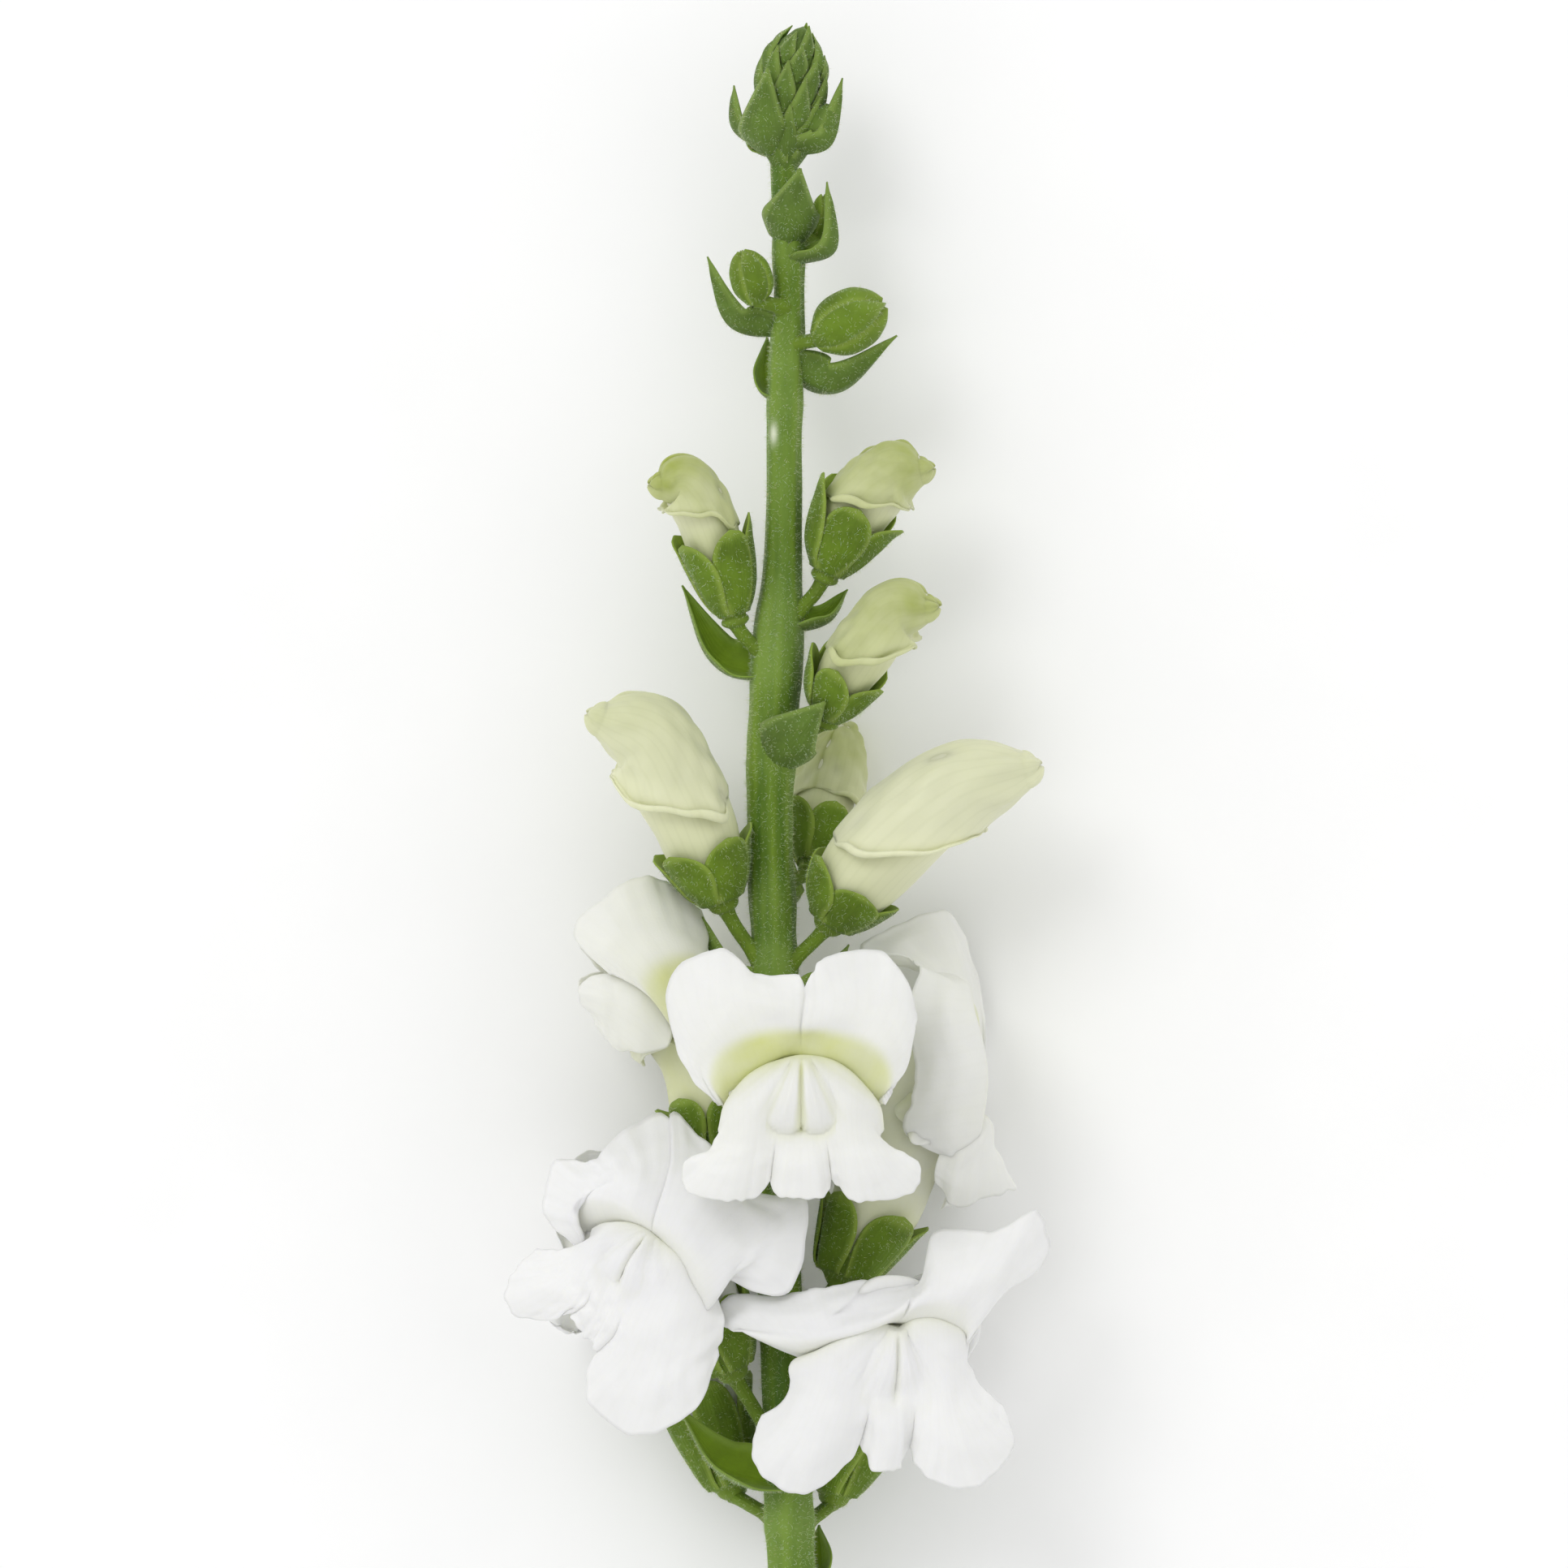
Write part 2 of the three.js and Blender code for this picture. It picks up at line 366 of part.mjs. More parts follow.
// Rows of a flower's nets that its own shape sets, in the stem's frame, from the left side to the right.
const ROWS = {
  flower_front: {
    upper: {
      4: [[-11.4, -47.9, 25.6], [-16.9, -39.8, 25.4], [-17, -29.2, 25.6], [-9.6, -25, 26.6],
        [-4.4, -28.6, 28.6], [3.4, -29, 29], [6.6, -26, 28.8], [15.4, -26, 26.8], [19.8, -33.2, 25.6],
        [18.8, -41.2, 25.4], [14.6, -47.8, 25.4]],
    },
  },
  flower_left: {
    upperRight: {
      1: [[-17, -30.5, 0], [-13.4, -32.5, 4.5], [-13.6, -32.6, 7.6], [-14.6, -33.2, 9.2],
        [-16.4, -34.6, 9.6], [-17.2, -36.6, 9]],
      2: [[-17, -27, -0.5], [-13.6, -27.6, 3.5], [-15.6, -26.4, 7.5], [-18.8, -27.4, 9.8],
        [-21.6, -29.8, 10.4], [-21.4, -32, 10]],
      3: [[-16, -23, -3], [-14, -23, 1.2], [-17.8, -20.5, 5.5], [-22.5, -21.5, 9], [-26.5, -25.5, 10],
        [-26, -29.3, 9.8]],
      4: [[-15, -20, -5], [-13.4, -19.4, -1.6], [-18.6, -15.2, 2.8], [-24.6, -16, 7], [-31, -22.8, 8.5],
        [-29.8, -27.8, 9]],
    },
    lowerRight: {
      1: [[-21.6, -35.6, 2], [-21, -36.4, 4.6], [-19.4, -38, 7], [-17, -40, 8.2], [-15.8, -39, 7.6]],
      2: [[-23.4, -38.4, 3], [-23, -39.8, 6], [-21, -41, 8.6], [-18.2, -39.6, 10], [-17.4, -35.8, 9]],
      3: [[-24.6, -40, 3], [-24.6, -41, 6], [-23.6, -39.4, 9], [-22, -35.4, 10.4], [-21, -32, 9.4]],
      4: [[-25.2, -40.4, 2.6], [-26.6, -39.6, 5.4], [-27.4, -36.8, 8], [-27, -32.8, 9.6],
        [-25.6, -29.6, 8.8]],
      5: [[-25.4, -39.6, 2], [-28.4, -37.6, 4.6], [-30.6, -35, 6.6], [-31.4, -31.6, 7.8],
        [-29.8, -28.6, 7.6]],
    },
    middle: {
      3: [[-23.8, -40, -1.8], [-24, -40, 0.6]],
      4: [[-24.4, -41.2, -2], [-24.6, -41, 0.4]],
      5: [[-24.6, -41.6, -2], [-24.8, -41.2, 0.2]],
    },
  },
  flower_right: {
    upper: {
      2: [[28.8, -56.6, 6], [30.4, -51, 9.6], [30.8, -43.6, 11.2], [30.2, -37, 10], [28.8, -32.6, 6],
        [27.4, -31.4, 1], [26.8, -32, -4], [29.2, -35, -9], [29.8, -42, -12], [28.6, -48, -13],
        [27, -53, -11]],
      3: [[26.8, -58.4, 8], [25.6, -52.4, 12.4], [25.4, -44.8, 14.4], [25.4, -37, 14], [25.8, -31, 9.4],
        [23.6, -29.4, 2.8], [19.6, -28.2, -3.4], [20.8, -25.8, -8.4], [27, -25.8, -12],
        [30.6, -38, -15.6], [29, -52, -12]],
      4: [[23.6, -58.4, 7.6], [19.2, -53, 10.8], [19.4, -45.8, 12.4], [19, -37.6, 12.8],
        [20.8, -30.4, 9.6], [19.4, -28.6, 4.4], [12, -27.6, -3], [15.2, -22.2, -8], [26.2, -20.2, -12],
        [31, -32, -17], [29.4, -51, -13]],
    },
    lowerLeft: {
      3: [[29.6, -52, 1.6], [31, -51.4, 4.6], [30.8, -51.8, 7.8], [28, -53.6, 9.6], [24, -54.8, 9]],
      4: [[30.8, -57.6, 1], [32.6, -56.8, 4.4], [31.4, -57, 7.6], [27, -59.6, 9.2], [22.8, -59.4, 8.6]],
      5: [[29.6, -62.4, 0], [34.8, -62.4, 3.6], [31.6, -63.4, 6.4], [26.4, -65, 7.6], [22.6, -63.4, 6.6]],
    },
  },
  flower_left_front: {
    upper: {
      3: [[-31, -70.6, 11.4], [-31.6, -66.2, 12], [-30, -62.4, 13.2], [-26.6, -60.4, 14.6],
        [-22.4, -59.2, 15.2], [-17.8, -58.2, 15.6], [-12.6, -60.4, 17.8], [-7, -64.4, 19.8],
        [-3, -68.6, 20.6], [-5.4, -73.6, 20.2], [-11, -74.6, 18.4]],
      4: [[-35.8, -70.8, 8], [-37, -64.4, 8.2], [-35.2, -58.4, 9], [-29.4, -57.4, 10.4], [-25, -54, 6.4],
        [-18.2, -50, 5.4], [-12.6, -54, 10], [-5, -62, 17.6], [4, -64.4, 18.6], [1.2, -77.6, 18.4],
        [-8.6, -77.6, 17.6]],
    },
    lowerLeft: {
      1: [[-23, -67.5, 15.6], [-24.8, -67, 15], [-26.4, -67, 14.2], [-27.6, -67.4, 12.8],
        [-28.4, -68.4, 11.2]],
      2: [[-26.6, -71.9, 17], [-28, -71, 16.4], [-29, -70.4, 15.4], [-29.8, -69.8, 13.6],
        [-30.2, -69.6, 11.6]],
      3: [[-28.8, -76.6, 17.2], [-30.8, -75.8, 16.6], [-32.2, -74.4, 15.6], [-32.8, -72.8, 13.6],
        [-32.6, -71.2, 11.4]],
      4: [[-30.6, -79.8, 16], [-33.4, -79.6, 15.4], [-36, -78.2, 14.4], [-36.8, -75, 12.8],
        [-35.8, -71.4, 10.4]],
      5: [[-33, -81.4, 13.8], [-36.8, -82.2, 12.4], [-41.2, -81.2, 11], [-42.6, -75.8, 9.6],
        [-40.4, -71, 8]],
    },
    middle: {
      3: [[-27.2, -77.8, 17.8], [-25.6, -79, 18.4]],
      4: [[-28.6, -81.2, 17.2], [-27, -82.2, 17.8]],
      5: [[-30.6, -84.4, 15], [-29, -85.6, 15.4]],
    },
    lowerRight: {
      1: [[-18.2, -70.3, 18], [-16.4, -71.6, 18.8], [-14.4, -72.8, 18.4], [-12.8, -73.4, 15.6],
        [-12, -74, 12.6]],
      2: [[-21.4, -74.9, 19.6], [-18.6, -76.4, 20.6], [-15.2, -77.4, 21], [-12.2, -77.6, 19],
        [-10.4, -78.2, 15.4]],
      3: [[-24.2, -80.2, 19], [-21.4, -82.6, 20.4], [-17.6, -83.6, 21.4], [-13, -83.2, 20.6],
        [-9, -82, 17.2]],
      4: [[-26, -84.2, 17.8], [-24, -88.8, 18.6], [-19.6, -90.6, 19.8], [-14.4, -89.4, 19.8],
        [-9.8, -85.8, 17]],
      5: [[-29.4, -87.6, 15.4], [-29.6, -95.2, 15], [-22.6, -99.8, 16.4], [-13.8, -96.6, 17.4],
        [-10.6, -89.6, 16]],
    },
  },
  flower_right_front: {
    upper: {
      2: [[-5.4, -84, 16.8], [-1.4, -84.8, 18.8], [4, -84.9, 20.8], [9.4, -84, 22.2], [14.4, -82.2, 23],
        [19, -80, 23], [22.4, -79.4, 22.4], [25.8, -79.8, 21.2], [27.6, -81, 19.6], [28.2, -84, 18],
        [27, -87, 16.4]],
      3: [[-9, -83, 15], [-4.8, -82, 17], [1.8, -81.7, 19.4], [8.4, -80.6, 20.8], [14.8, -79, 21.4],
        [20, -77.6, 21], [23.4, -74.6, 21.2], [29, -73.6, 20.6], [34, -73, 18.6], [34, -77, 17.4],
        [29.4, -81, 16.4]],
      4: [[-11.2, -81.8, 13], [-9.2, -79, 14.4], [-0.4, -78, 16.4], [7.6, -76.6, 17.8], [14.6, -76, 18.2],
        [20.6, -76, 17.4], [23, -68.6, 17], [31.2, -68.6, 17], [38.4, -65.4, 14], [41, -72, 12.6],
        [31.6, -78.6, 14.4]],
    },
    lowerLeft: {
      1: [[14.1, -82.4, 20.9], [11.4, -83.4, 21.3], [8.2, -85, 20.8], [4.6, -87, 19], [2.2, -88, 16.6]],
      2: [[13.4, -88.6, 21.2], [10.6, -88.8, 21.8], [7.4, -89.6, 21.6], [3.6, -90.6, 19.6],
        [0.9, -91.4, 16.8]],
      3: [[13, -94.4, 20.6], [8.8, -95.4, 21.6], [5.2, -95.4, 21.2], [2.4, -94.6, 19.6],
        [0.6, -93.6, 17]],
      4: [[12.4, -98.6, 19], [7, -101.2, 20.4], [2.6, -101.6, 20.4], [-0.6, -99.4, 18.8],
        [-2, -95.8, 16.2]],
      5: [[11.4, -102.4, 17], [5.6, -107.2, 17.4], [-0.6, -108.2, 17.2], [-4.6, -103, 16.2],
        [-5.6, -97.4, 14.6]],
    },
    middle: {
      3: [[14.6, -94.2, 20.6], [17.8, -94, 20.6]],
      4: [[14.4, -99.2, 20], [17.8, -99.2, 20]],
      5: [[13.6, -104.8, 18], [17.4, -104.6, 18]],
    },
    lowerRight: {
      1: [[20, -81.8, 20.6], [22.4, -81.6, 20.4], [24.8, -82.2, 19.6], [27, -83.4, 17.6],
        [27.8, -85, 15.4]],
      2: [[20, -88.2, 21], [22.8, -88.2, 21.2], [25.2, -88.4, 20.6], [27.4, -88.6, 18.4],
        [28.2, -88.8, 15.8]],
      3: [[20.2, -94.4, 20.6], [23.4, -95.2, 21.2], [26, -94.6, 21], [28.2, -93, 19.4],
        [29.2, -91, 16.6]],
      4: [[20, -98.8, 19.2], [23.6, -101, 20.6], [28, -100.6, 20.6], [31.2, -98, 19], [32.2, -94, 16.4]],
      5: [[19.4, -102.6, 17], [22.6, -106.6, 17.8], [30.6, -106.6, 17.6], [35.4, -101.6, 16.6],
        [35, -96.2, 15]],
    },
  },
};

const THROAT_RINGS = [0, BULGE, 0.36, 0.66, 0.93];

function openCorolla(flower) {
  const toStem = flowerMatrix(flower);
  const facing = vec(flower.facing).normalize();
  const { name, lobes = {}, phase = 0, palate = 1, fold = UPPER_LOBE[2] } = flower;
  const rows = ROWS[name] ?? {};
  const far = (left, right) => left ?? farRows(right ?? {}, toStem);
  const upper = UPPER_LOBE.map((row, k) => (k === 2 ? fold : row));
  const lip = upperLip(
    carried(upper, 2, toStem, lobes.upperLeft, far(rows.upperLeft, rows.upperRight)),
    carried(mirror(upper), 2, toStem, lobes.upperRight, rows.upperRight ?? {}),
    toStem,
    rows.upper ?? {},
  );
  const low = lowerLip(
    carried(LOWER_LOBE, 3, toStem, lobes.lowerLeft, far(rows.lowerLeft, rows.lowerRight)),
    carried(mirror(LOWER_LOBE), 3, toStem, lobes.lowerRight, rows.lowerRight ?? {}),
    toStem,
    lobes.middle?.reach ?? 1,
    rows.middle ?? {},
  );
  const lowTurns = (u) => 1.5 * (u < 0.5 ? 1 - 2.25 * u : 2.25 * u - 1.25) + phase + 0.3;
  return fuse([
    tube(flowerPlace(flower), flowerRadius(flower), 8, THROAT_RINGS),
    petal(lip, facing, (u) => 4 * u + phase, 0.9, 10, 4),
    petal(low, facing, lowTurns, 0.6, 11, 5),
    bosses(toStem, palate),
  ]);
}

// ---- calyx ----
// A stalk from the stem's skin to the point where a bud or flower sits on it.
function stalk(end, { y, angle }) {
  const away = onStem(y, angle, GAP + 2.4);
  const curve = new THREE.CubicBezierCurve3(onStem(y, angle, GAP), away, end.clone().lerp(away, 0.45), end);
  const place = frameAlong(curve, new THREE.Vector3(0.31, 0.17, 0.93));
  return tube(place, () => PEDICEL, 6, [0, 0.3, 0.65, 1]);
}

// A sepal's outline as [degrees from its rib, share of its length], up to the notch before the next one.
const SEPAL_OUTLINE = [[0, 1], [24, 0.86], [36, 0.45], [48, 0.86]];

// A cup of five sepals that hugs the tube's base, with a gap, on the stalk.
function calyx({ from, sepals = {} }, place, radius, length) {
  const { long = 9, open = 0.6, first = 90 } = sepals;
  const columns = Array.from({ length: 20 }, (_, j) => {
    const [turn, share] = SEPAL_OUTLINE[j % 4];
    return { angle: first + 72 * Math.floor(j / 4) + turn, high: long * share };
  });
  const ring = (at, out, spread = 0) => columns.map(({ angle, high }) => {
    const s = at(high / length);
    return place(s, angle, radius(Math.max(0, s), angle) + out + (spread * open * high) / long);
  });
  const root = () => 0;
  const middle = (end) => Math.min(BULGE, 0.6 * end);
  const point = (end) => end;
  const foot = columns.map(({ angle }) => place(-2.6 / length, angle, PEDICEL * 1.3));
  const cup = loft([
    foot, ring(root, HUG + SEPAL), ring(middle, HUG + SEPAL, 0.2), ring(point, HUG + SEPAL * 0.8, 1),
    ring(point, HUG, 1), ring(middle, HUG, 0.2), ring(() => -GAP / length, HUG),
  ]);
  return fuse([cup, stalk(place(-1.7 / length, 0, 0), from)]);
}

// ---- closed white buds ----
// A bud's half thickness from base to tip, as shares of its widest.
const BUD_SHAPE = [[0, 0.5], [0.12, 0.74], [0.35, 0.98], [0.6, 1], [0.8, 0.88], [0.93, 0.62], [1, 0.34]];

const budPlace = ({ line, up }) => frameAlong(through(line), vec(up));
const budRadius = ({ girth }) => (s) => girth * ramp(BUD_SHAPE, s);

// A closed corolla: the upper lip is a hood over its outer half, whose free lower edge stands off the tube.
function closedCorolla(bud) {
  const { hoodStart = 0.48, flare = 1 } = bud;
  const place = budPlace(bud);
  const radius = budRadius(bud);
  const columns = Array.from({ length: 12 }, (_, j) => {
    const angle = (360 * j) / 12;
    const side = Math.abs(Math.cos(rad(angle)));
    const below = Math.max(0, -Math.sin(rad(angle)));
    const edge = hoodStart + 0.22 * below * below - 0.04 * side;
    return { angle, edge, off: flare * (side + 0.6 * below) };
  });
  const ring = (at, out) => columns.map((column) => {
    const s = at(column);
    return place(s, column.angle, radius(s) + out(column));
  });
  const past = (share) => ({ edge }) => edge + (1 - edge) * share;
  return loft([
    ring(() => 0, () => 0),
    ring(() => BULGE, () => 0),
    ring(() => 0.3, () => 0),
    ring(({ edge }) => edge + 0.01, () => 0),
    ring(({ edge }) => edge - 0.02, ({ off }) => off),
    ring(past(0.3), ({ off }) => 0.6 * off),
    ring(past(0.65), ({ off }) => 0.35 * off),
    ring(past(0.9), ({ angle, off }) => 0.5 * off * Math.sin(rad(5 * angle))),
    ring(past(1), ({ off }) => 0.3 * off),
  ]);
}

// ---- green buds ----
// A closed green bud: four sepals meet in seams and end in free points.
function greenBud({ line, up, girth, from, first = 60 }) {
  const place = frameAlong(through(line), vec(up));
  const shape = (s) => girth * ramp([[0, 0.42], [0.2, 0.9], [0.5, 1.1], [0.8, 0.88], [1, 0.3]], s);
  const columns = Array.from({ length: 12 }, (_, j) => ({ angle: first + 30 * j, seam: j % 3 === 0 }));
  const body = loft([0, 0.16, 0.4, 0.66, 0.86, 1].map((s) => columns.map(({ angle, seam }) => place(
    s * (seam ? 0.95 : 1.04),
    angle,
    shape(s) * (seam ? 0.86 : 1.03),
  ))));
  return fuse([body, stalk(place(0.1, 0, 0), from)]);
}

// ---- the tip of the stem ----
const TIP_LINE = [[0, NECK_END - 1.5, 0], [0.4, 101, 0.2], [1.4, 110, 0.3], [2.8, TIP_END, 0.4]];
const TIP_WHORLS = [0.34, 0.56, 0.78];
const SIDE_BUD = [[2.6, 98.5, 1.6], [5.8, 101.4, 2.4], [6.8, 104.6, 2.8]];
const TIP_LEAVES = [
  {
    root: [-2, 97, 2.4], belly: [-3.6, 101, 6.4], tip: [-2.5, 110, 6.6],
    width: 8.2, back: [-0.2, -0.3, 1],
  },
  { root: [-1.4, 97, -0.5], belly: [-7.6, 101, 0], tip: [-7.7, 107.6, 0], width: 6, back: [-1, -0.3, 0.1] },
  { root: [1.4, 97, 1], belly: [7.2, 98.8, 2.4], tip: [9, 108.6, 3], width: 7, back: [0.75, -0.6, 0.3] },
  { root: [0, 96.6, -1.5], belly: [-2, 100, -6.2], tip: [-1, 108, -7], width: 8, back: [0, -0.3, -1] },
];

// A cone of pointed scales in whorls of five, each whorl lying over the root of the next.
function scaleCone(place, shape) {
  const columns = Array.from({ length: 10 }, (_, j) => j);
  const ring = (at, out) => columns.map((j) => place(at(j), 36 * j + 12, shape(at(j)) + out(j)));
  const steps = TIP_WHORLS.flatMap((s, k) => {
    const edge = (j) => s + ((j + k) % 2 ? 0.1 : -0.07);
    const lip = (j) => ((j + k) % 2 ? 0.3 : 1);
    return [ring(edge, lip), ring((j) => edge(j) + 0.015, () => -0.25)];
  });
  const point = (j) => 0.96 + (j % 2 ? 0.1 : 0);
  return loft([ring(() => 0, () => 0), ring(() => 0.16, () => 0.3), ...steps, ring(point, () => 0)]);
}

function tipParts() {
  const place = frameAlong(through(TIP_LINE), new THREE.Vector3(0, 0, 1));
  const shape = (s) => ramp([[0, 2.1], [0.18, 3], [0.42, 5], [0.62, 5], [0.85, 3.6], [1, 1.3]], s);
  const sideBud = frameAlong(through(SIDE_BUD), new THREE.Vector3(0, 0, 1));
  return [
    scaleCone(place, shape),
    ...TIP_LEAVES.map((l) => leaf(l, SEPAL)),
    tube(sideBud, (s) => ramp([[0, 1.2], [0.5, 2.1], [1, 1]], s), 6, [0, 0.35, 0.7, 1]),
  ];
}

// ---- what grows where ----
// base and mouth are the ends of a flower's tube; from is where its stalk leaves the stem.
const FLOWERS = [
  {
    name: 'flower_front', base: [0.2, -60, 9.5], mouth: [2.6, -41.9, 28],
    facing: [0, 0.06, 1], up: [0, 1, 0],
    from: { y: -67, angle: 88 }, phase: 0.1,
    lobes: { upperRight: { fold: 12, reach: 0.85 } },
  },
  {
    name: 'flower_left', base: [-10.8, -56, 0.5], mouth: [-20.6, -33.6, -1.4],
    facing: [-0.93, 0.3, 0.15], up: [0.3, 0.95, 0],
    from: { y: -66, angle: 176 }, phase: 0.6, palate: 0.5,
  },
  {
    name: 'flower_right', base: [9.2, -75, 1], mouth: [24.6, -43.6, -0.9],
    facing: [0.97, -0.02, 0.24], up: [0, 1, 0],
    from: { y: -83, angle: 5 }, phase: 0.35, bend: 0.06, plump: 1.22,
    sepals: { long: 6.4, open: 0.5, first: 60 },
  },
  {
    name: 'flower_left_front', base: [-8.4, -89, 4.5], mouth: [-20, -69, 15.5],
    facing: [-0.4, 0.1, 0.9], up: [0.5, 0.86, 0],
    from: { y: -101, angle: 138 }, phase: 0.8, palate: 0.8, fold: LOW_FOLD,
    lobes: { upperLeft: { turn: 14 }, upperRight: { reach: 1.15 }, lowerRight: { reach: 1.35, turn: -22 } },
  },
  {
    name: 'flower_right_front', base: [7.6, -98.8, 5.6], mouth: [17, -82.5, 19],
    facing: [0.16, -0.36, 0.92], up: [0.08, 0.94, 0.34],
    from: { y: -104.5, angle: 40 }, phase: 0.2, sepals: { long: 6.5, open: 0.5 },
  },
  {
    name: 'flower_left_back', base: [-8.4, -107.5, -6.5], mouth: [-20, -71.5, -14.35],
    facing: [-0.3, 0.1, -0.94], up: [0.2, 1, 0],
    from: { y: -113, angle: 205 }, phase: 0.45, bend: 0.15,
    lobes: {
      upperLeft: { reach: 0.8 }, upperRight: { reach: 0.8 }, lowerLeft: { reach: 0.35 },
      lowerRight: { reach: 0.35 }, middle: { reach: 0.4 },
    },
  },
  {
    name: 'flower_right_back', base: [8, -108.5, -5.5], mouth: [15.6, -86, -14.35],
    facing: [0.3, 0.1, -0.94], up: [-0.2, 1, 0],
    from: { y: -114, angle: 325 }, phase: 0.7,
    lobes: {
      upperLeft: { reach: 0.6 }, upperRight: { reach: 0.6 }, lowerLeft: { reach: 0.45 },
      lowerRight: { reach: 0.45 }, middle: { reach: 0.5 },
    },
  },
];

// line is a closed bud's centre line from its base, and up is the side that faces the stem.
const BUDS = [
  {
    name: 'bud_left_high',
    line: [[-8, 27, 2.6], [-10, 34.5, 3.6], [-12.6, 42, 5], [-15.6, 46.4, 6], [-19, 46.2, 6.5]],
    up: [0.8, 0.55, 0], girth: 4.4, from: { y: 20.6, angle: 155 },
    sepals: { long: 10, open: 0.6, first: 20 },
  },
  {
    name: 'bud_right_high',
    line: [[7, 33.6, 2.4], [9.4, 39, 3.4], [13, 44.6, 5], [17, 47.8, 6], [21, 48.4, 6.5]],
    up: [-0.7, 0.7, 0], girth: 5.2, from: { y: 26.5, angle: 15 },
    sepals: { long: 10, open: 0.8, first: 40 },
  },
  {
    name: 'bud_right_middle',
    line: [[7, 11.4, 1.6], [9, 16, 4], [13, 22, 7], [17.4, 27, 9], [22, 27.2, 10]],
    up: [-0.7, 0.7, 0], girth: 4.7, flare: 1.7, from: { y: 7, angle: 10 },
    sepals: { long: 9, open: 0.6, first: 30 },
  },
  {
    name: 'bud_back',
    line: [[4.6, -11.6, -9.2], [5.6, -5, -12.2], [7.2, 1.6, -15.9], [9.2, 8, -20.1]],
    up: [-0.3, 0.4, 0.85], girth: 4.6, from: { y: -16, angle: 300 },
    sepals: { long: 8, open: 0.5, first: 60 },
  },
  {
    name: 'bud_left_low',
    line: [[-9.8, -17, 3.4], [-12.6, -9.4, 4.4], [-16.4, 0, 5.8], [-21, 7.6, 7.2], [-28, 10.2, 8]],
    up: [0.8, 0.55, 0], girth: 6.6, flare: 1.9, from: { y: -26.6, angle: 160 },
    sepals: { long: 9, open: 0.4, first: 100 },
  },
  {
    name: 'bud_right_low',
    line: [[7.6, -20.4, 2.5], [11.4, -14.4, 4], [18, -7, 5.8], [26.6, -0.4, 7.4], [37, 2.4, 8.5]],
    up: [-0.6, 0.8, 0], girth: 7.2, flare: 1.3, from: { y: -27.6, angle: 22 },
    sepals: { long: 10, open: 0.4, first: 60 },
  },
];

const GREEN_BUDS = [
  {
    name: 'bud_green_left',
    line: [[-4.4, 73.8, 4], [-4.9, 77.4, 4.4], [-6.4, 81.6, 4.6]], up: [0, 0, 1],
    girth: 2.9, from: { y: 73.4, angle: 130 }, first: 60,
  },
  {
    name: 'bud_green_right',
    line: [[5, 68, 3.6], [9.6, 70.9, 4.2], [15, 73.6, 4.6]], up: [0, 0, 1],
    girth: 4.2, from: { y: 67.8, angle: 40 }, first: 45,
  },
  {
    name: 'bud_green_high',
    line: [[4.6, 84, -3], [5.8, 87, -3.2], [6, 90.6, -3]], up: [0, 0, 1],
    girth: 1.9, from: { y: 83.6, angle: 322 }, first: 0,
  },
];

// ---- assembly ----
const GREEN = { color: 0x5f8f3c, roughness: 0.7, metalness: 0 };
const PALE_GREEN = { color: 0x78a548, roughness: 0.65, metalness: 0 };
const WHITE = { color: 0xf4f5ee, roughness: 0.55, metalness: 0 };
const CREAM = { color: 0xeef0c8, roughness: 0.5, metalness: 0 };

const plant = new THREE.Group();
plant.position.set(-PLAN_CENTRE.x, -PLAN_CENTRE.y, AXIS_HEIGHT);

// A slab that takes off what would lie below the table. It leaves a small flat where a petal rests on it.
const slab = (() => {
  const box = new THREE.BoxGeometry(300, 400, 20).translate(0, 0, -AXIS_HEIGHT - 10).toNonIndexed();
  const corners = [];
  const index = [];
  const { position } = box.attributes;
  for (let i = 0; i < position.count; i += 1) {
    const p = new THREE.Vector3().fromBufferAttribute(position, i);
    const known = corners.findIndex((c) => c.distanceTo(p) < 1e-3);
    index.push(known < 0 ? corners.push(p) - 1 : known);
  }
  return solid(corners, index);
})();

function add(name, whole, look) {
  const rested = whole.boundingBox().min[2] < -AXIS_HEIGHT ? fuse([whole.subtract(slab)]) : whole;
  const { vertProperties, triVerts } = rested.getMesh();
  const geometry = new THREE.BufferGeometry();
  geometry.setAttribute('position', new THREE.BufferAttribute(vertProperties, 3));
  geometry.setIndex(new THREE.BufferAttribute(triVerts, 1));
  geometry.computeVertexNormals();
  const mesh = new THREE.Mesh(geometry, new THREE.MeshStandardMaterial(look));
  mesh.name = name;
  plant.add(mesh);
}

add('stem', fuse([...stemParts(), ...tipParts()]), GREEN);
for (const flower of FLOWERS) {
  const length = vec(flower.base).distanceTo(vec(flower.mouth));
  add(`${flower.name}_petals`, openCorolla(flower), WHITE);
  add(`${flower.name}_calyx`, calyx(flower, flowerPlace(flower), flowerRadius(flower), length), PALE_GREEN);
}
for (const bud of BUDS) {
  add(`${bud.name}_petals`, closedCorolla(bud), CREAM);
  const length = through(bud.line).getLength();
  add(`${bud.name}_calyx`, calyx(bud, budPlace(bud), budRadius(bud), length), PALE_GREEN);
}
for (const bud of GREEN_BUDS) add(bud.name, greenBud(bud), PALE_GREEN);

export default plant;
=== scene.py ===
"""A cut snapdragon stem on a pale table: fine petals, sepals, bracts, stem and hairs over the CAD solids.

Shapes are worked out in millimetres in the stem's own frame, as the CAD does: X across, Y along the stem
to its tip, Z up, with Z = 0 on the stem's axis. make_mesh lifts them into the shared frame, in metres.
"""

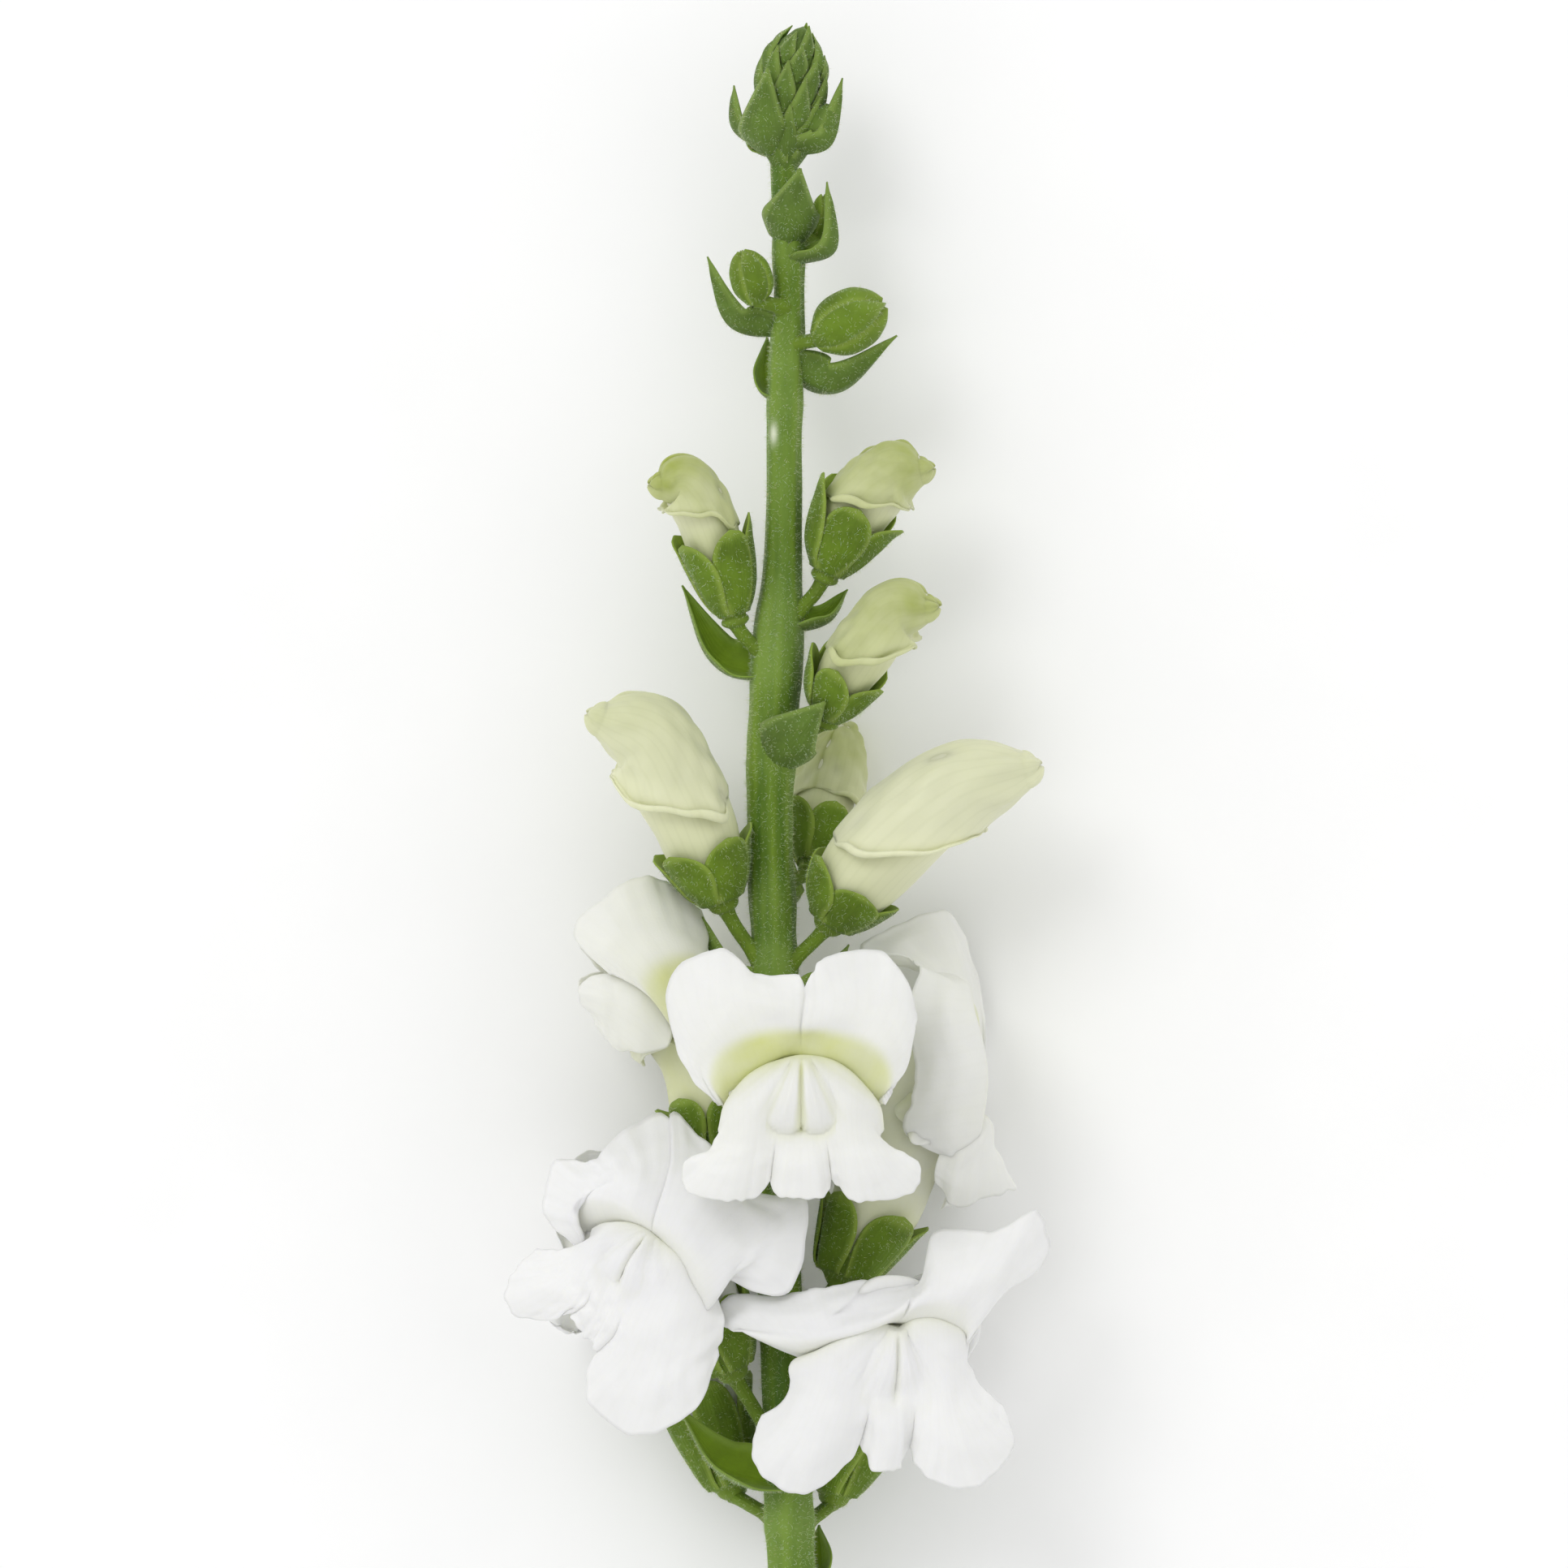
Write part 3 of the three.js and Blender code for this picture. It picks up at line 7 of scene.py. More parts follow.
import bpy
import numpy as np
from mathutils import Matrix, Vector


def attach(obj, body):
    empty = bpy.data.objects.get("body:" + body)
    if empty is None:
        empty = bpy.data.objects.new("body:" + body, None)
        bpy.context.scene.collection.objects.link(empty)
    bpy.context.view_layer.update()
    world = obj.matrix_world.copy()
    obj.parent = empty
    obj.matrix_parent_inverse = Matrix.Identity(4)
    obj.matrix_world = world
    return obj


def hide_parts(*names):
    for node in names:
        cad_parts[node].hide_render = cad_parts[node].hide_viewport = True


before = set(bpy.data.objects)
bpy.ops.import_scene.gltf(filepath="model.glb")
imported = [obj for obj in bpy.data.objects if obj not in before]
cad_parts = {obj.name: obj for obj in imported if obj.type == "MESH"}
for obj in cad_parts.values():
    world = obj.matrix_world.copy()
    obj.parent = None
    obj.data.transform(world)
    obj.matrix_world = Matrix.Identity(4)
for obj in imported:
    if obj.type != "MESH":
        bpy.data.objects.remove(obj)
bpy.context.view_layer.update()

# ---- driving dimensions, mm ----
MM = 0.001
LIFT = np.array([0.0, 7.5, 21.5])
CUT_END = -133.0
NECK_END = 95.0
TIP_END = 116.0
SCAR = (-1.6, 53.9)
HUG = 0.47  # from a tube to its sepals
CLEFT = 1.2  # how far an upper lip sinks between its lobes
PETAL_SHEET = 0.36
HOOD_SHEET = 0.34
SEPAL_SHEET = 0.42
BOWL_SHEET = 0.4
SCALE_SHEET = 0.42
LEAF_SHEET = 0.5
HAIR_RADIUS = 0.027
HAIR_ROOT = 0.05  # how deep a hair's foot sits in the skin
# ---- shares, angles and counts ----
GOLDEN = 137.5
SCALES = 34
SEPAL_HALF = 43.5  # half the angle that a sepal covers, and less round an open flower
FLOWER_SEPAL_HALF = 36
HOOD_START = 0.48
FLOWER_DETAIL = 0.95
SEAM = 4 / 11  # where the lower lip's seams lie across it, from either side
MARKS = ("tone", "edge", "inner")

STEM_LINE = [
    (CUT_END, 1.8), (-108, 0.6), (-90, -0.1), (-66, -1.1), (-27, -1.5), (-3, -2.3), (18, -1.2), (36, -0.2),
    (58, 0.1), (77, 0.8), (NECK_END, 0.0),
]
STEM_RADIUS = [
    (CUT_END, 3.9), (-108, 3.65), (-66, 3.45), (-27, 3.4), (-3, 3.6), (18, 3.85), (36, 2.95), (58, 2.7),
    (77, 2.4), (NECK_END, 2.2),
]

# Bracts as root, belly, tip, width and the side their back faces.
BRACTS = [
    ((0.6, 83, 1.6), (1.2, 87.5, 5.6), (2.5, 94.6, 6.4), 8.8, (0, -0.3, 1)),
    ((2, 80.2, 0.6), (7.8, 82.6, 3), (6.6, 92.6, 4), 6.4, (1, -0.5, 0.2)),
    ((-0.4, 69.2, -1), (-8.4, 71, -0.6), (-11.8, 81.2, 0.6), 7.6, (-0.7, -0.6, 0.35)),
    ((1, 64, 0), (8.2, 61, 1.4), (17.4, 69, 2.5), 8, (0.3, -0.75, 0.6)),
    ((0, 58.5, -1.6), (-3, 62, -4.6), (-2.6, 69, -7), 7, (-0.5, -0.3, -0.8)),
    ((-3, 16.5, -1.6), (-10.8, 19.4, -2), (-15.7, 30.6, -0.4), 8.6, (-0.6, -0.5, -0.6)),
    ((0.5, 23.5, -1), (6.4, 25, -2), (9.8, 30, -4), 7, (0.3, -0.9, -0.35)),
    ((-2, 2.6, 2.4), (0.8, 6.4, 7.2), (6.3, 12.6, 8.8), 9.6, (-0.1, -0.3, 1)),
    ((-2.4, -33, -0.6), (-9.4, -29.8, -0.8), (-12.6, -20.4, 0), 7.4, (-0.8, -0.5, 0.3)),
    ((0, -34.4, -1), (6.8, -31.4, -1.5), (10, -24.8, -4), 7.4, (0.8, -0.5, 0.2)),
    ((-1, -19.4, -1.8), (0.6, -18.2, -9), (1.4, -12, -14.6), 6.4, (0.2, -0.7, -0.65)),
    ((-0.5, -108, 1.4), (-10, -105, 4), (-16.2, -95.8, 5.5), 9, (-0.55, -0.6, -0.6)),
    ((2, -124.5, -1.5), (5.6, -121, -5), (5.4, -114.6, -9.6), 7, (0.5, -0.3, -0.8)),
]
TIP_LINE = [(0, NECK_END - 1.5, 0), (0.4, 101, 0.2), (1.4, 110, 0.3), (2.8, TIP_END, 0.4)]
TIP_SHAPE = [(0, 2.1), (0.18, 3), (0.42, 5), (0.62, 5), (0.85, 3.6), (1, 1.3)]
TIP_LEAVES = [
    ((-2, 97, 2.4), (-3.6, 101, 6.4), (-2.5, 110, 6.6), 8.2, (-0.2, -0.3, 1)),
    ((-1.4, 97, -0.5), (-7.6, 101, 0), (-7.7, 107.6, 0), 6, (-1, -0.3, 0.1)),
    ((1.4, 97, 1), (7.2, 98.8, 2.4), (9, 108.6, 3), 7, (0.75, -0.6, 0.3)),
    ((0, 96.6, -1.5), (-2, 100, -6.2), (-1, 108, -7), 8, (0, -0.3, -1)),
]
SIDE_BUD = [(2.6, 98.5, 1.6), (5.8, 101.4, 2.4), (6.8, 104.6, 2.8)]

# Nets of the corolla's lips in the flower's frame: x right and y up as one looks in, z out of the mouth.
UPPER_LOBE = [
    [(0, 3.2, -3.6), (-2.8, 2.8, -3.6), (-4.8, 1, -3.6), (-5.6, -1.2, -3.8), (-5.6, -3.2, -4.2),
     (-5, -4.4, -5)],
    [(0.3, 0.4, 0.2), (-3.2, 0, 0), (-7, -1.8, -0.8), (-9.8, -4.4, -1.8), (-10.8, -6.4, -2.8),
     (-10.8, -8, -4.2)],
    [(0, 4.3, 2.6), (-4.2, 4, 2.9), (-9, 2.6, 2.4), (-12.6, 0, 1.2), (-13.6, -3.4, -0.2), (-12, -7, -2.4)],
    [(-0.2, 8.6, 3.2), (-5.4, 9, 3.4), (-12, 8.6, 2.8), (-16.2, 4.2, 1.2), (-16.4, -1.2, 0),
     (-12.6, -6.8, -2)],
    [(-0.3, 12, 1), (-6, 13.6, 0.2), (-13.4, 15.8, -2.2), (-19.4, 10.4, -3), (-19.2, 0.6, -2.6),
     (-13, -6.8, -2.6)],
]
# Columns of the lower lip run from the seam beside its middle lobe outwards.
LOWER_LOBE = [
    [(-1.9, -1.7, -3.3), (-3.2, -2.1, -3.5), (-4.4, -3, -3.8), (-4.8, -4.4, -4.8), (-3.6, -5.6, -6)],
    [(-3, -0.1, 1.4), (-5.6, -0.9, 1.1), (-8.6, -2.9, 0.5), (-11.4, -6.4, -0.9), (-12, -9.8, -2.8)],
    [(-3.3, -5.4, 3.7), (-5.8, -5.6, 4), (-8.6, -6.8, 3.6), (-11, -9.2, 2), (-12.4, -11.8, -1.2)],
    [(-3.8, -11.6, 3), (-6.2, -12, 3.7), (-8.8, -12.6, 3.6), (-11.4, -13.2, 2.2), (-13.6, -13.6, -0.4)],
    [(-4.4, -15.9, 2.4), (-6.8, -16.6, 3), (-10, -17.2, 3), (-13.8, -16.6, 2), (-16.8, -15, -0.2)],
    [(-4.8, -19.2, 0.6), (-7.4, -21.2, 0.2), (-11.6, -21.6, 0.2), (-17.2, -20.2, -0.4), (-20, -17, -1.4)],
]
MIDDLE_LOBE = [
    (-0.7, -1.6, -3.2), (-1, 0, 1.5), (-1.1, -5.6, 3.4), (-1.4, -11.6, 2.8), (-1.9, -16.2, 3),
    (-2.5, -21.3, 1.4),
]
# The fold of an upper lip that lies close over the palate.
LOW_FOLD = [(0, 2.2, 3.2), (-4.2, 2, 3.5), (-9, 0.8, 3), (-12.6, -1.4, 1.6), (-13.6, -4, 0), (-12, -7, -2.4)]
FAR_SHARE = 0.86
# The twin boss as y, half width and height.
BOSS = [
    (-11.4, 3.4, 1), (-10.6, 4.6, 2), (-9.6, 5.3, 2.7), (-8.4, 5.5, 3.1), (-4, 4.1, 2.7), (-0.6, 1.4, 0.9),
]
# Where the tube's skin meets the lips, as angle round the mouth and a point, on the right side.
FLARE = [
    (-90, (0, -11.4, 1.2)), (-67, (4.4, -10.8, 2.4)), (-45, (8.6, -9.3, 2.0)), (-30, (10.8, -6.6, -1.4)),
    (-15, (11.2, -3.6, -2.3)), (0, (11.3, -0.6, -0.9)), (30, (9.3, 4.2, 1.6)), (60, (4.6, 7.0, 2.5)),
    (90, (0, 7.2, 1.4)),
]


def reaches(upper, lower, middle):
    """How long the lobes of a flower with two like sides are."""
    sides = {part + side: dict(reach=reach) for part, reach in (("upper_", upper), ("lower_", lower))
             for side in ("left", "right")}
    return dict(sides, middle=dict(reach=middle))


# Each flower's throat tint strength greens its throat and also scales the painted shade in the throat's
# recess and the palate's creases.
FLOWERS = [
    dict(name="flower_front", base=(0.2, -60, 9.5), mouth=(2.6, -41.9, 28), facing=(0, 0.06, 1), up=(0, 1, 0),
         root=(-67, 88), phase=0.1, tint_and_shade=0.55, wash=0.04,
         lobes=dict(upper_right=dict(fold=12, reach=0.85))),
    dict(name="flower_left", base=(-10.8, -56, 0.5), mouth=(-20.6, -33.6, -1.4), facing=(-0.93, 0.3, 0.15),
         up=(0.3, 0.95, 0), root=(-66, 176), phase=0.6, tint_and_shade=0.5, palate=0.5, flare=(1, -1, 0.85, -3.4),
         wash=0.14, sepals=dict(long=5.5, first=120)),
    dict(name="flower_right", base=(9.2, -75, 1), mouth=(24.6, -43.6, -0.9), facing=(0.97, -0.02, 0.24),
         up=(0, 1, 0), root=(-83, 5), phase=0.35, tint_and_shade=0.4, rough=1.1, wash=0.09, bend=0.06, plump=1.22,
         sepals=dict(long=6.4, open=0.5, first=60)),
    dict(name="flower_left_front", base=(-8.4, -89, 4.5), mouth=(-20, -69, 15.5), facing=(-0.4, 0.1, 0.9),
         up=(0.5, 0.86, 0), root=(-101, 138), phase=0.8, tint_and_shade=0.06, rough=1.1, palate=0.8,
         fold=LOW_FOLD, flare=(0.4, -3.4, 1, 0),
         lobes=dict(upper_left=dict(turn=14), upper_right=dict(reach=1.15),
                    lower_right=dict(reach=1.35, turn=-22))),
    dict(name="flower_right_front", base=(7.6, -98.8, 5.6), mouth=(17, -82.5, 19), facing=(0.16, -0.36, 0.92),
         up=(0.08, 0.94, 0.34), root=(-104.5, 40), phase=0.2, tint_and_shade=0.06, flare=(0.35, -3.4, 1, 0),
         sepals=dict(long=6.5, open=0.5),
         lobes=dict(upper_left=dict(tilt=75, turn=36, reach=1.24),
                    upper_right=dict(fold=8, reach=1.2, turn=-14), lower_left=dict(reach=1.3, turn=20),
                    lower_right=dict(reach=1.25, turn=-16), middle=dict(reach=1.2))),
    dict(name="flower_left_back", base=(-8.4, -107.5, -6.5), mouth=(-20, -71.5, -14.35),
         facing=(-0.3, 0.1, -0.94), up=(0.2, 1, 0), root=(-113, 205), phase=0.45, tint_and_shade=0.04, detail=0.6,
         bend=0.15, lobes=reaches(0.8, 0.35, 0.4)),
    dict(name="flower_right_back", base=(8, -108.5, -5.5), mouth=(15.6, -86, -14.35),
         facing=(0.3, 0.1, -0.94), up=(-0.2, 1, 0), root=(-114, 325), phase=0.7, tint_and_shade=0.04, detail=0.6,
         lobes=reaches(0.6, 0.45, 0.5)),
]
# Rows of a flower's nets that its own shape sets, in the stem's frame. A lobe's row starts at the middle of
# the flower, and the upper lip's whole row runs from the flower's left to its right.
ROWS = {
    ("flower_front", "upper"): {
        4: [(-11.4, -47.9, 25.6), (-16.9, -39.8, 25.4), (-17, -29.2, 25.6), (-9.6, -25, 26.6),
            (-4.4, -28.6, 28.6), (3.4, -29, 29), (6.6, -26, 28.8), (15.4, -26, 26.8), (19.8, -33.2, 25.6),
            (18.8, -41.2, 25.4), (14.6, -47.8, 25.4)]},
    ("flower_left", "upper_right"): {
        1: [(-15.6, -31.5, 0), (-12, -33.6, 4.5), (-12.4, -34, 7.6), (-14.6, -34.6, 9.6), (-15.8, -36.4, 10),
            (-17, -37.8, 9.4)],
        2: [(-15, -28, -0.5), (-12, -28.4, 3.5), (-14.6, -27, 7.5), (-18.8, -27.8, 10), (-21.2, -30.4, 11),
            (-20.6, -32.8, 10.8)],
        3: [(-13.6, -24.6, -3), (-11.8, -24, 1.2), (-16.8, -20.8, 5.5), (-22.5, -21.5, 9),
            (-26.5, -25.5, 10.4), (-25.4, -29.6, 10.4)],
        4: [(-14, -22, -5), (-12.8, -19.6, -1.6), (-18.6, -14.6, 2.8), (-25.4, -15.2, 7), (-31.6, -22, 8.5),
            (-30.2, -28.4, 9)]},
    ("flower_left", "lower_right"): {
        1: [(-21.6, -35.6, 2), (-21, -36.4, 4.6), (-19.4, -38, 7), (-17, -40, 8.2), (-15.8, -39, 7.6)],
        2: [(-23.4, -38.4, 3), (-23, -39.8, 6), (-21, -41, 8.6), (-18.2, -39.6, 10), (-17.4, -35.8, 9)],
        3: [(-24.6, -40, 3), (-24.6, -41, 6), (-23.6, -39.4, 9), (-22, -35.4, 10.4), (-21, -32, 9.4)],
        4: [(-25.2, -40.4, 2.6), (-26.6, -39.6, 5.4), (-27.4, -36.8, 8), (-27, -32.8, 9.6),
            (-25.6, -29.6, 8.8)],
        5: [(-25.4, -39.6, 2), (-28.4, -37.6, 4.6), (-30.6, -35, 6.6), (-31.4, -31.6, 7.8),
            (-29.8, -28.6, 7.6)]},
    ("flower_left", "middle"): {
        3: [(-23.8, -39.4, -1.8), (-24.2, -39.6, 0.6)],
        4: [(-24.8, -39.6, -2), (-25.2, -39.8, 0.4)],
        5: [(-25.4, -39, -2), (-25.8, -39.2, 0.2)]},
    ("flower_right", "upper"): {
        2: [(28.8, -56.6, 6), (30.4, -51, 9.6), (30.8, -43.6, 11.2), (30.2, -37, 10), (28.8, -32.6, 6),
            (27.4, -31.4, 1), (26.8, -32, -4), (29.2, -35, -9), (29.8, -42, -12), (28.6, -48, -13),
            (27, -53, -11)],
        3: [(26.8, -58.4, 8), (25.6, -52.4, 12.4), (25.4, -44.8, 14.4), (25.4, -37, 14), (25.8, -31, 9.4),
            (23.6, -29.4, 2.8), (19.6, -28.2, -3.4), (20.8, -25.8, -8.4), (27, -25.8, -12),
            (30.6, -38, -15.6), (29, -52, -12)],
        4: [(23.6, -58.4, 7.6), (19.2, -53, 10.8), (19.4, -45.8, 12.4), (19, -37.6, 12.8), (21, -29.4, 8.6),
            (17.6, -26.4, 2.6), (12, -26.4, -3), (15.2, -22.2, -8), (26.2, -20.2, -12), (31, -32, -17),
            (29.4, -51, -13)]},
    ("flower_right", "lower_left"): {
        3: [(29.6, -52, 1.6), (31, -51.4, 4.6), (30.8, -51.8, 7.8), (28, -53.6, 9.6), (24, -54.8, 9)],
        4: [(30.8, -57.6, 1), (32.6, -56.8, 4.4), (31.4, -57, 7.6), (27, -59.6, 9.2), (22.8, -59.4, 8.6)],
        5: [(29.6, -62.4, 0), (34.8, -62.4, 3.6), (31.6, -63.4, 6.4), (26.4, -65, 7.6), (22.6, -63.4, 6.6)]},
    ("flower_left_front", "upper"): {
        3: [(-31, -70.6, 11.4), (-31.6, -66.2, 12), (-30, -62.4, 13.2), (-26.6, -60.4, 14.6),
            (-22.4, -59.2, 15.2), (-17.8, -58.2, 15.6), (-12.6, -60.4, 17.8), (-7, -64.4, 19.8),
            (-3, -68.6, 20.6), (-5.4, -73.6, 20.2), (-11, -74.6, 18.4)],
        4: [(-35.8, -70.8, 8), (-37, -64.4, 8.2), (-35.2, -58.4, 9), (-29.4, -57.4, 10.4), (-25, -54, 6.4),
            (-18.2, -50, 5.4), (-12.6, -54, 10), (-5, -62, 17.6), (4, -64.4, 18.6), (1.2, -77.6, 18.4),
            (-8.6, -77.6, 17.6)]},
    ("flower_left_front", "lower_left"): {
        1: [(-23, -67.5, 15.6), (-24.8, -67, 15), (-26.4, -67, 14.2), (-27.6, -67.4, 12.8),
            (-28.4, -68.4, 11.2)],
        2: [(-26.6, -71.9, 17), (-28, -71, 16.4), (-29, -70.4, 15.4), (-29.8, -69.8, 13.6),
            (-30.2, -69.6, 11.6)],
        3: [(-28.8, -76.6, 17.2), (-30.8, -75.8, 16.6), (-32.2, -74.4, 15.6), (-32.8, -72.8, 13.6),
            (-32.6, -71.2, 11.4)],
        4: [(-30.6, -79.8, 16), (-33.4, -79.6, 15.4), (-36, -78.2, 14.4), (-36.8, -75, 12.8),
            (-35.8, -71.4, 10.4)],
        5: [(-33, -81.4, 13.8), (-36.8, -82.2, 12.4), (-41.2, -81.2, 11), (-42.6, -75.8, 9.6),
            (-40.4, -71, 8)]},
    ("flower_left_front", "middle"): {
        3: [(-27.2, -77.8, 17.8), (-25.6, -79, 18.4)],
        4: [(-28.6, -81.2, 17.2), (-27, -82.2, 17.8)],
        5: [(-30.6, -84.4, 15), (-29, -85.6, 15.4)]},
    ("flower_left_front", "lower_right"): {
        1: [(-18.2, -70.3, 18), (-16.4, -71.6, 18.8), (-14.4, -72.8, 18.4), (-12.8, -73.4, 15.6),
            (-12, -74, 12.6)],
        2: [(-21.4, -74.9, 19.6), (-18.6, -76.4, 20.6), (-15.2, -77.4, 21), (-12.2, -77.6, 19),
            (-10.4, -78.2, 15.4)],
        3: [(-24.2, -80.2, 19), (-21.4, -82.6, 20.4), (-17.6, -83.6, 21.4), (-13, -83.2, 20.6),
            (-9, -82, 17.2)],
        4: [(-26, -84.2, 17.8), (-24, -88.8, 18.6), (-19.6, -90.6, 19.8), (-14.4, -89.4, 19.8),
            (-9.8, -85.8, 17)],
        5: [(-29.4, -87.6, 15.4), (-29.6, -95.2, 15), (-22.6, -99.8, 16.4), (-13.8, -96.6, 17.4),
            (-10.6, -89.6, 16)]},
    ("flower_right_front", "upper"): {
        2: [(-5.4, -84, 16.8), (-1.4, -84.8, 18.8), (4, -84.9, 20.8), (9.4, -84, 22.2), (14.4, -82.2, 23),
            (19, -80, 23), (22.4, -79.4, 22.4), (25.8, -79.8, 21.2), (27.6, -81, 19.6), (28.2, -84, 18),
            (27, -87, 16.4)],
        3: [(-9, -83, 15), (-4.8, -82, 17), (1.8, -81.7, 19.4), (8.4, -80.6, 20.8), (14.8, -79, 21.4),
            (20, -77.6, 21), (23.4, -74.6, 21.2), (29, -73.6, 20.6), (34, -73, 18.6), (34, -77, 17.4),
            (29.4, -81, 16.4)],
        4: [(-11.2, -81.8, 13), (-9.2, -79, 14.4), (-0.4, -78, 16.4), (7.6, -76.6, 17.8), (14.6, -76, 18.2),
            (20.6, -76, 17.4), (23, -68.6, 17), (31.2, -68.6, 17), (38.4, -65.4, 14), (41, -72, 12.6),
            (31.6, -78.6, 14.4)]},
    ("flower_right_front", "lower_left"): {
        1: [(14.1, -82.4, 20.9), (11.4, -83.4, 21.3), (8.2, -85, 20.8), (4.6, -87, 19), (2.2, -88, 16.6)],
        2: [(13.4, -88.6, 21.2), (10.6, -88.8, 21.8), (7.4, -89.6, 21.6), (3.6, -90.6, 19.6),
            (0.9, -91.4, 16.8)],
        3: [(13, -94.4, 20.6), (8.8, -95.4, 21.6), (5.2, -95.4, 21.2), (2.4, -94.6, 19.6), (0.6, -93.6, 17)],
        4: [(12.4, -98.6, 19), (7, -101.2, 20.4), (2.6, -101.6, 20.4), (-0.6, -99.4, 18.8),
            (-2, -95.8, 16.2)],
        5: [(11.4, -102.4, 17), (5.6, -107.2, 17.4), (-0.6, -108.2, 17.2), (-4.6, -103, 16.2),
            (-5.6, -97.4, 14.6)]},
    ("flower_right_front", "middle"): {
        3: [(14.6, -94.2, 20.6), (17.8, -94, 20.6)],
        4: [(14.4, -99.2, 20), (17.8, -99.2, 20)],
        5: [(13.6, -104.8, 18), (17.4, -104.6, 18)]},
    ("flower_right_front", "lower_right"): {
        1: [(20, -81.8, 20.6), (22.4, -81.6, 20.4), (24.8, -82.2, 19.6), (27, -83.4, 17.6),
            (27.8, -85, 15.4)],
        2: [(20, -88.2, 21), (22.8, -88.2, 21.2), (25.2, -88.4, 20.6), (27.4, -88.6, 18.4),
            (28.2, -88.8, 15.8)],
        3: [(20.2, -94.4, 20.6), (23.4, -95.2, 21.2), (26, -94.6, 21), (28.2, -93, 19.4), (29.2, -91, 16.6)],
        4: [(20, -98.8, 19.2), (23.6, -101, 20.6), (28, -100.6, 20.6), (31.2, -98, 19), (32.2, -94, 16.4)],
        5: [(19.4, -102.6, 17), (22.6, -106.6, 17.8), (30.6, -106.6, 17.6), (35.4, -101.6, 16.6),
            (35, -96.2, 15)]},
}
BUD_SHAPE = [(0, 0.5), (0.12, 0.74), (0.35, 0.98), (0.6, 1), (0.8, 0.88), (0.93, 0.62), (1, 0.34)]
# A bud's line runs from its base, and ripe says how far its cream has lost its green.
BUDS = [
    dict(name="bud_left_high", up=(0.8, 0.55, 0), girth=4.4, root=(20.6, 155), ripe=0.15,
         line=[(-8, 27, 2.6), (-10, 34.5, 3.6), (-12.6, 42, 5), (-15.6, 46.4, 6), (-19, 46.2, 6.5)],
         sepals=dict(long=10, open=0.6, first=20)),
    dict(name="bud_right_high", up=(-0.7, 0.7, 0), girth=5.2, root=(26.5, 15), ripe=0.1,
         line=[(7, 33.6, 2.4), (9.4, 39, 3.4), (13, 44.6, 5), (17, 47.8, 6), (21, 48.4, 6.5)],
         sepals=dict(long=10, open=0.8, first=40)),
    dict(name="bud_right_middle", up=(-0.7, 0.7, 0), girth=4.7, flare=1.7, root=(7, 10), ripe=0.2,
         line=[(7, 11.4, 1.6), (9, 16, 4), (13, 22, 7), (17.4, 27, 9), (22, 27.2, 10)],
         sepals=dict(long=9, open=0.6, first=30)),
    dict(name="bud_back", up=(-0.3, 0.4, 0.85), girth=4.6, root=(-16, 300), ripe=0.3,
         line=[(4.6, -11.6, -9.2), (5.6, -5, -12.2), (7.2, 1.6, -15.9), (9.2, 8, -20.1)],
         sepals=dict(long=8, open=0.5, first=60)),
    dict(name="bud_left_low", up=(0.8, 0.55, 0), girth=6.6, flare=1.9, root=(-26.6, 160), ripe=0.8,
         line=[(-9.8, -17, 3.4), (-12.6, -9.4, 4.4), (-16.4, 0, 5.8), (-21, 7.6, 7.2), (-28, 10.2, 8)],
         sepals=dict(long=9, open=0.4, first=100)),
    dict(name="bud_right_low", up=(-0.6, 0.8, 0), girth=7.2, flare=1.3, root=(-27.6, 22), ripe=0.95,
         line=[(7.6, -20.4, 2.5), (11.4, -14.4, 4), (18, -7, 5.8), (26.6, -0.4, 7.4), (37, 2.4, 8.5)],
         sepals=dict(long=10, open=0.4, first=60)),
]
GREEN_BUDS = [
    dict(name="bud_green_left", line=[(-4.4, 73.8, 4), (-4.9, 77.4, 4.4), (-6.4, 81.6, 4.6)], girth=2.9,
         root=(73.4, 130), first=60),
    dict(name="bud_green_right", line=[(5, 68, 3.6), (9.6, 70.9, 4.2), (15, 73.6, 4.6)], girth=4.2,
         root=(67.8, 40), first=45),
    dict(name="bud_green_high", line=[(4.6, 84, -3), (5.8, 87, -3.2), (6, 90.6, -3)], girth=1.9,
         root=(83.6, 322), first=0),
]


# ---- curves and surfaces ----
def unit(v):
    return v / np.maximum(np.linalg.norm(v, axis=-1, keepdims=True), 1e-12)


def hermite(p0, p1, p2, p3, t):
    """The smooth curve from p1 to p2, at shares t, that heads as its neighbours ask."""
    a, b = (p2 - p0) / 2, (p3 - p1) / 2
    return p1 + a * t + (3 * (p2 - p1) - 2 * a - b) * t**2 + (2 * (p1 - p2) + a + b) * t**3


def extended(p):
    """The points with one more past each end, in line with the last two."""
    return np.concatenate([2 * p[:1] - p[1:2], p, 2 * p[-1:] - p[-2:-1]])


def catmull(points, u):
    """The points at shares u of the smooth curve through points."""
    p = extended(np.asarray(points, float))
    spans = len(p) - 3
    at = np.clip(u, 0, 1) * spans
    k = np.minimum(at.astype(int), spans - 1)
    return hermite(*(p[k + i] for i in range(4)), (at - k)[:, None])


def flow(pairs, at):
    """A smooth line through (position, value) pairs."""
    x, y = np.array(pairs, float).T
    at = np.clip(at, x[0], x[-1])
    slope = np.gradient(y, x)
    k = np.clip(np.searchsorted(x, at, side="right") - 1, 0, len(x) - 2)
    width = x[k + 1] - x[k]
    t = (at - x[k]) / width
    a, b = slope[k] * width, slope[k + 1] * width
    rise = y[k + 1] - y[k]
    return y[k] + a * t + (3 * rise - 2 * a - b) * t**2 + (a + b - 2 * rise) * t**3


def step(low, high, at):
    """A soft step from 0 at low to 1 at high."""
    t = np.clip((at - low) / (high - low), 0, 1)
    return t * t * (3 - 2 * t)


def bell(x, width):
    """A bump of height 1 about x = 0."""
    return np.exp(-((x / width) ** 2))


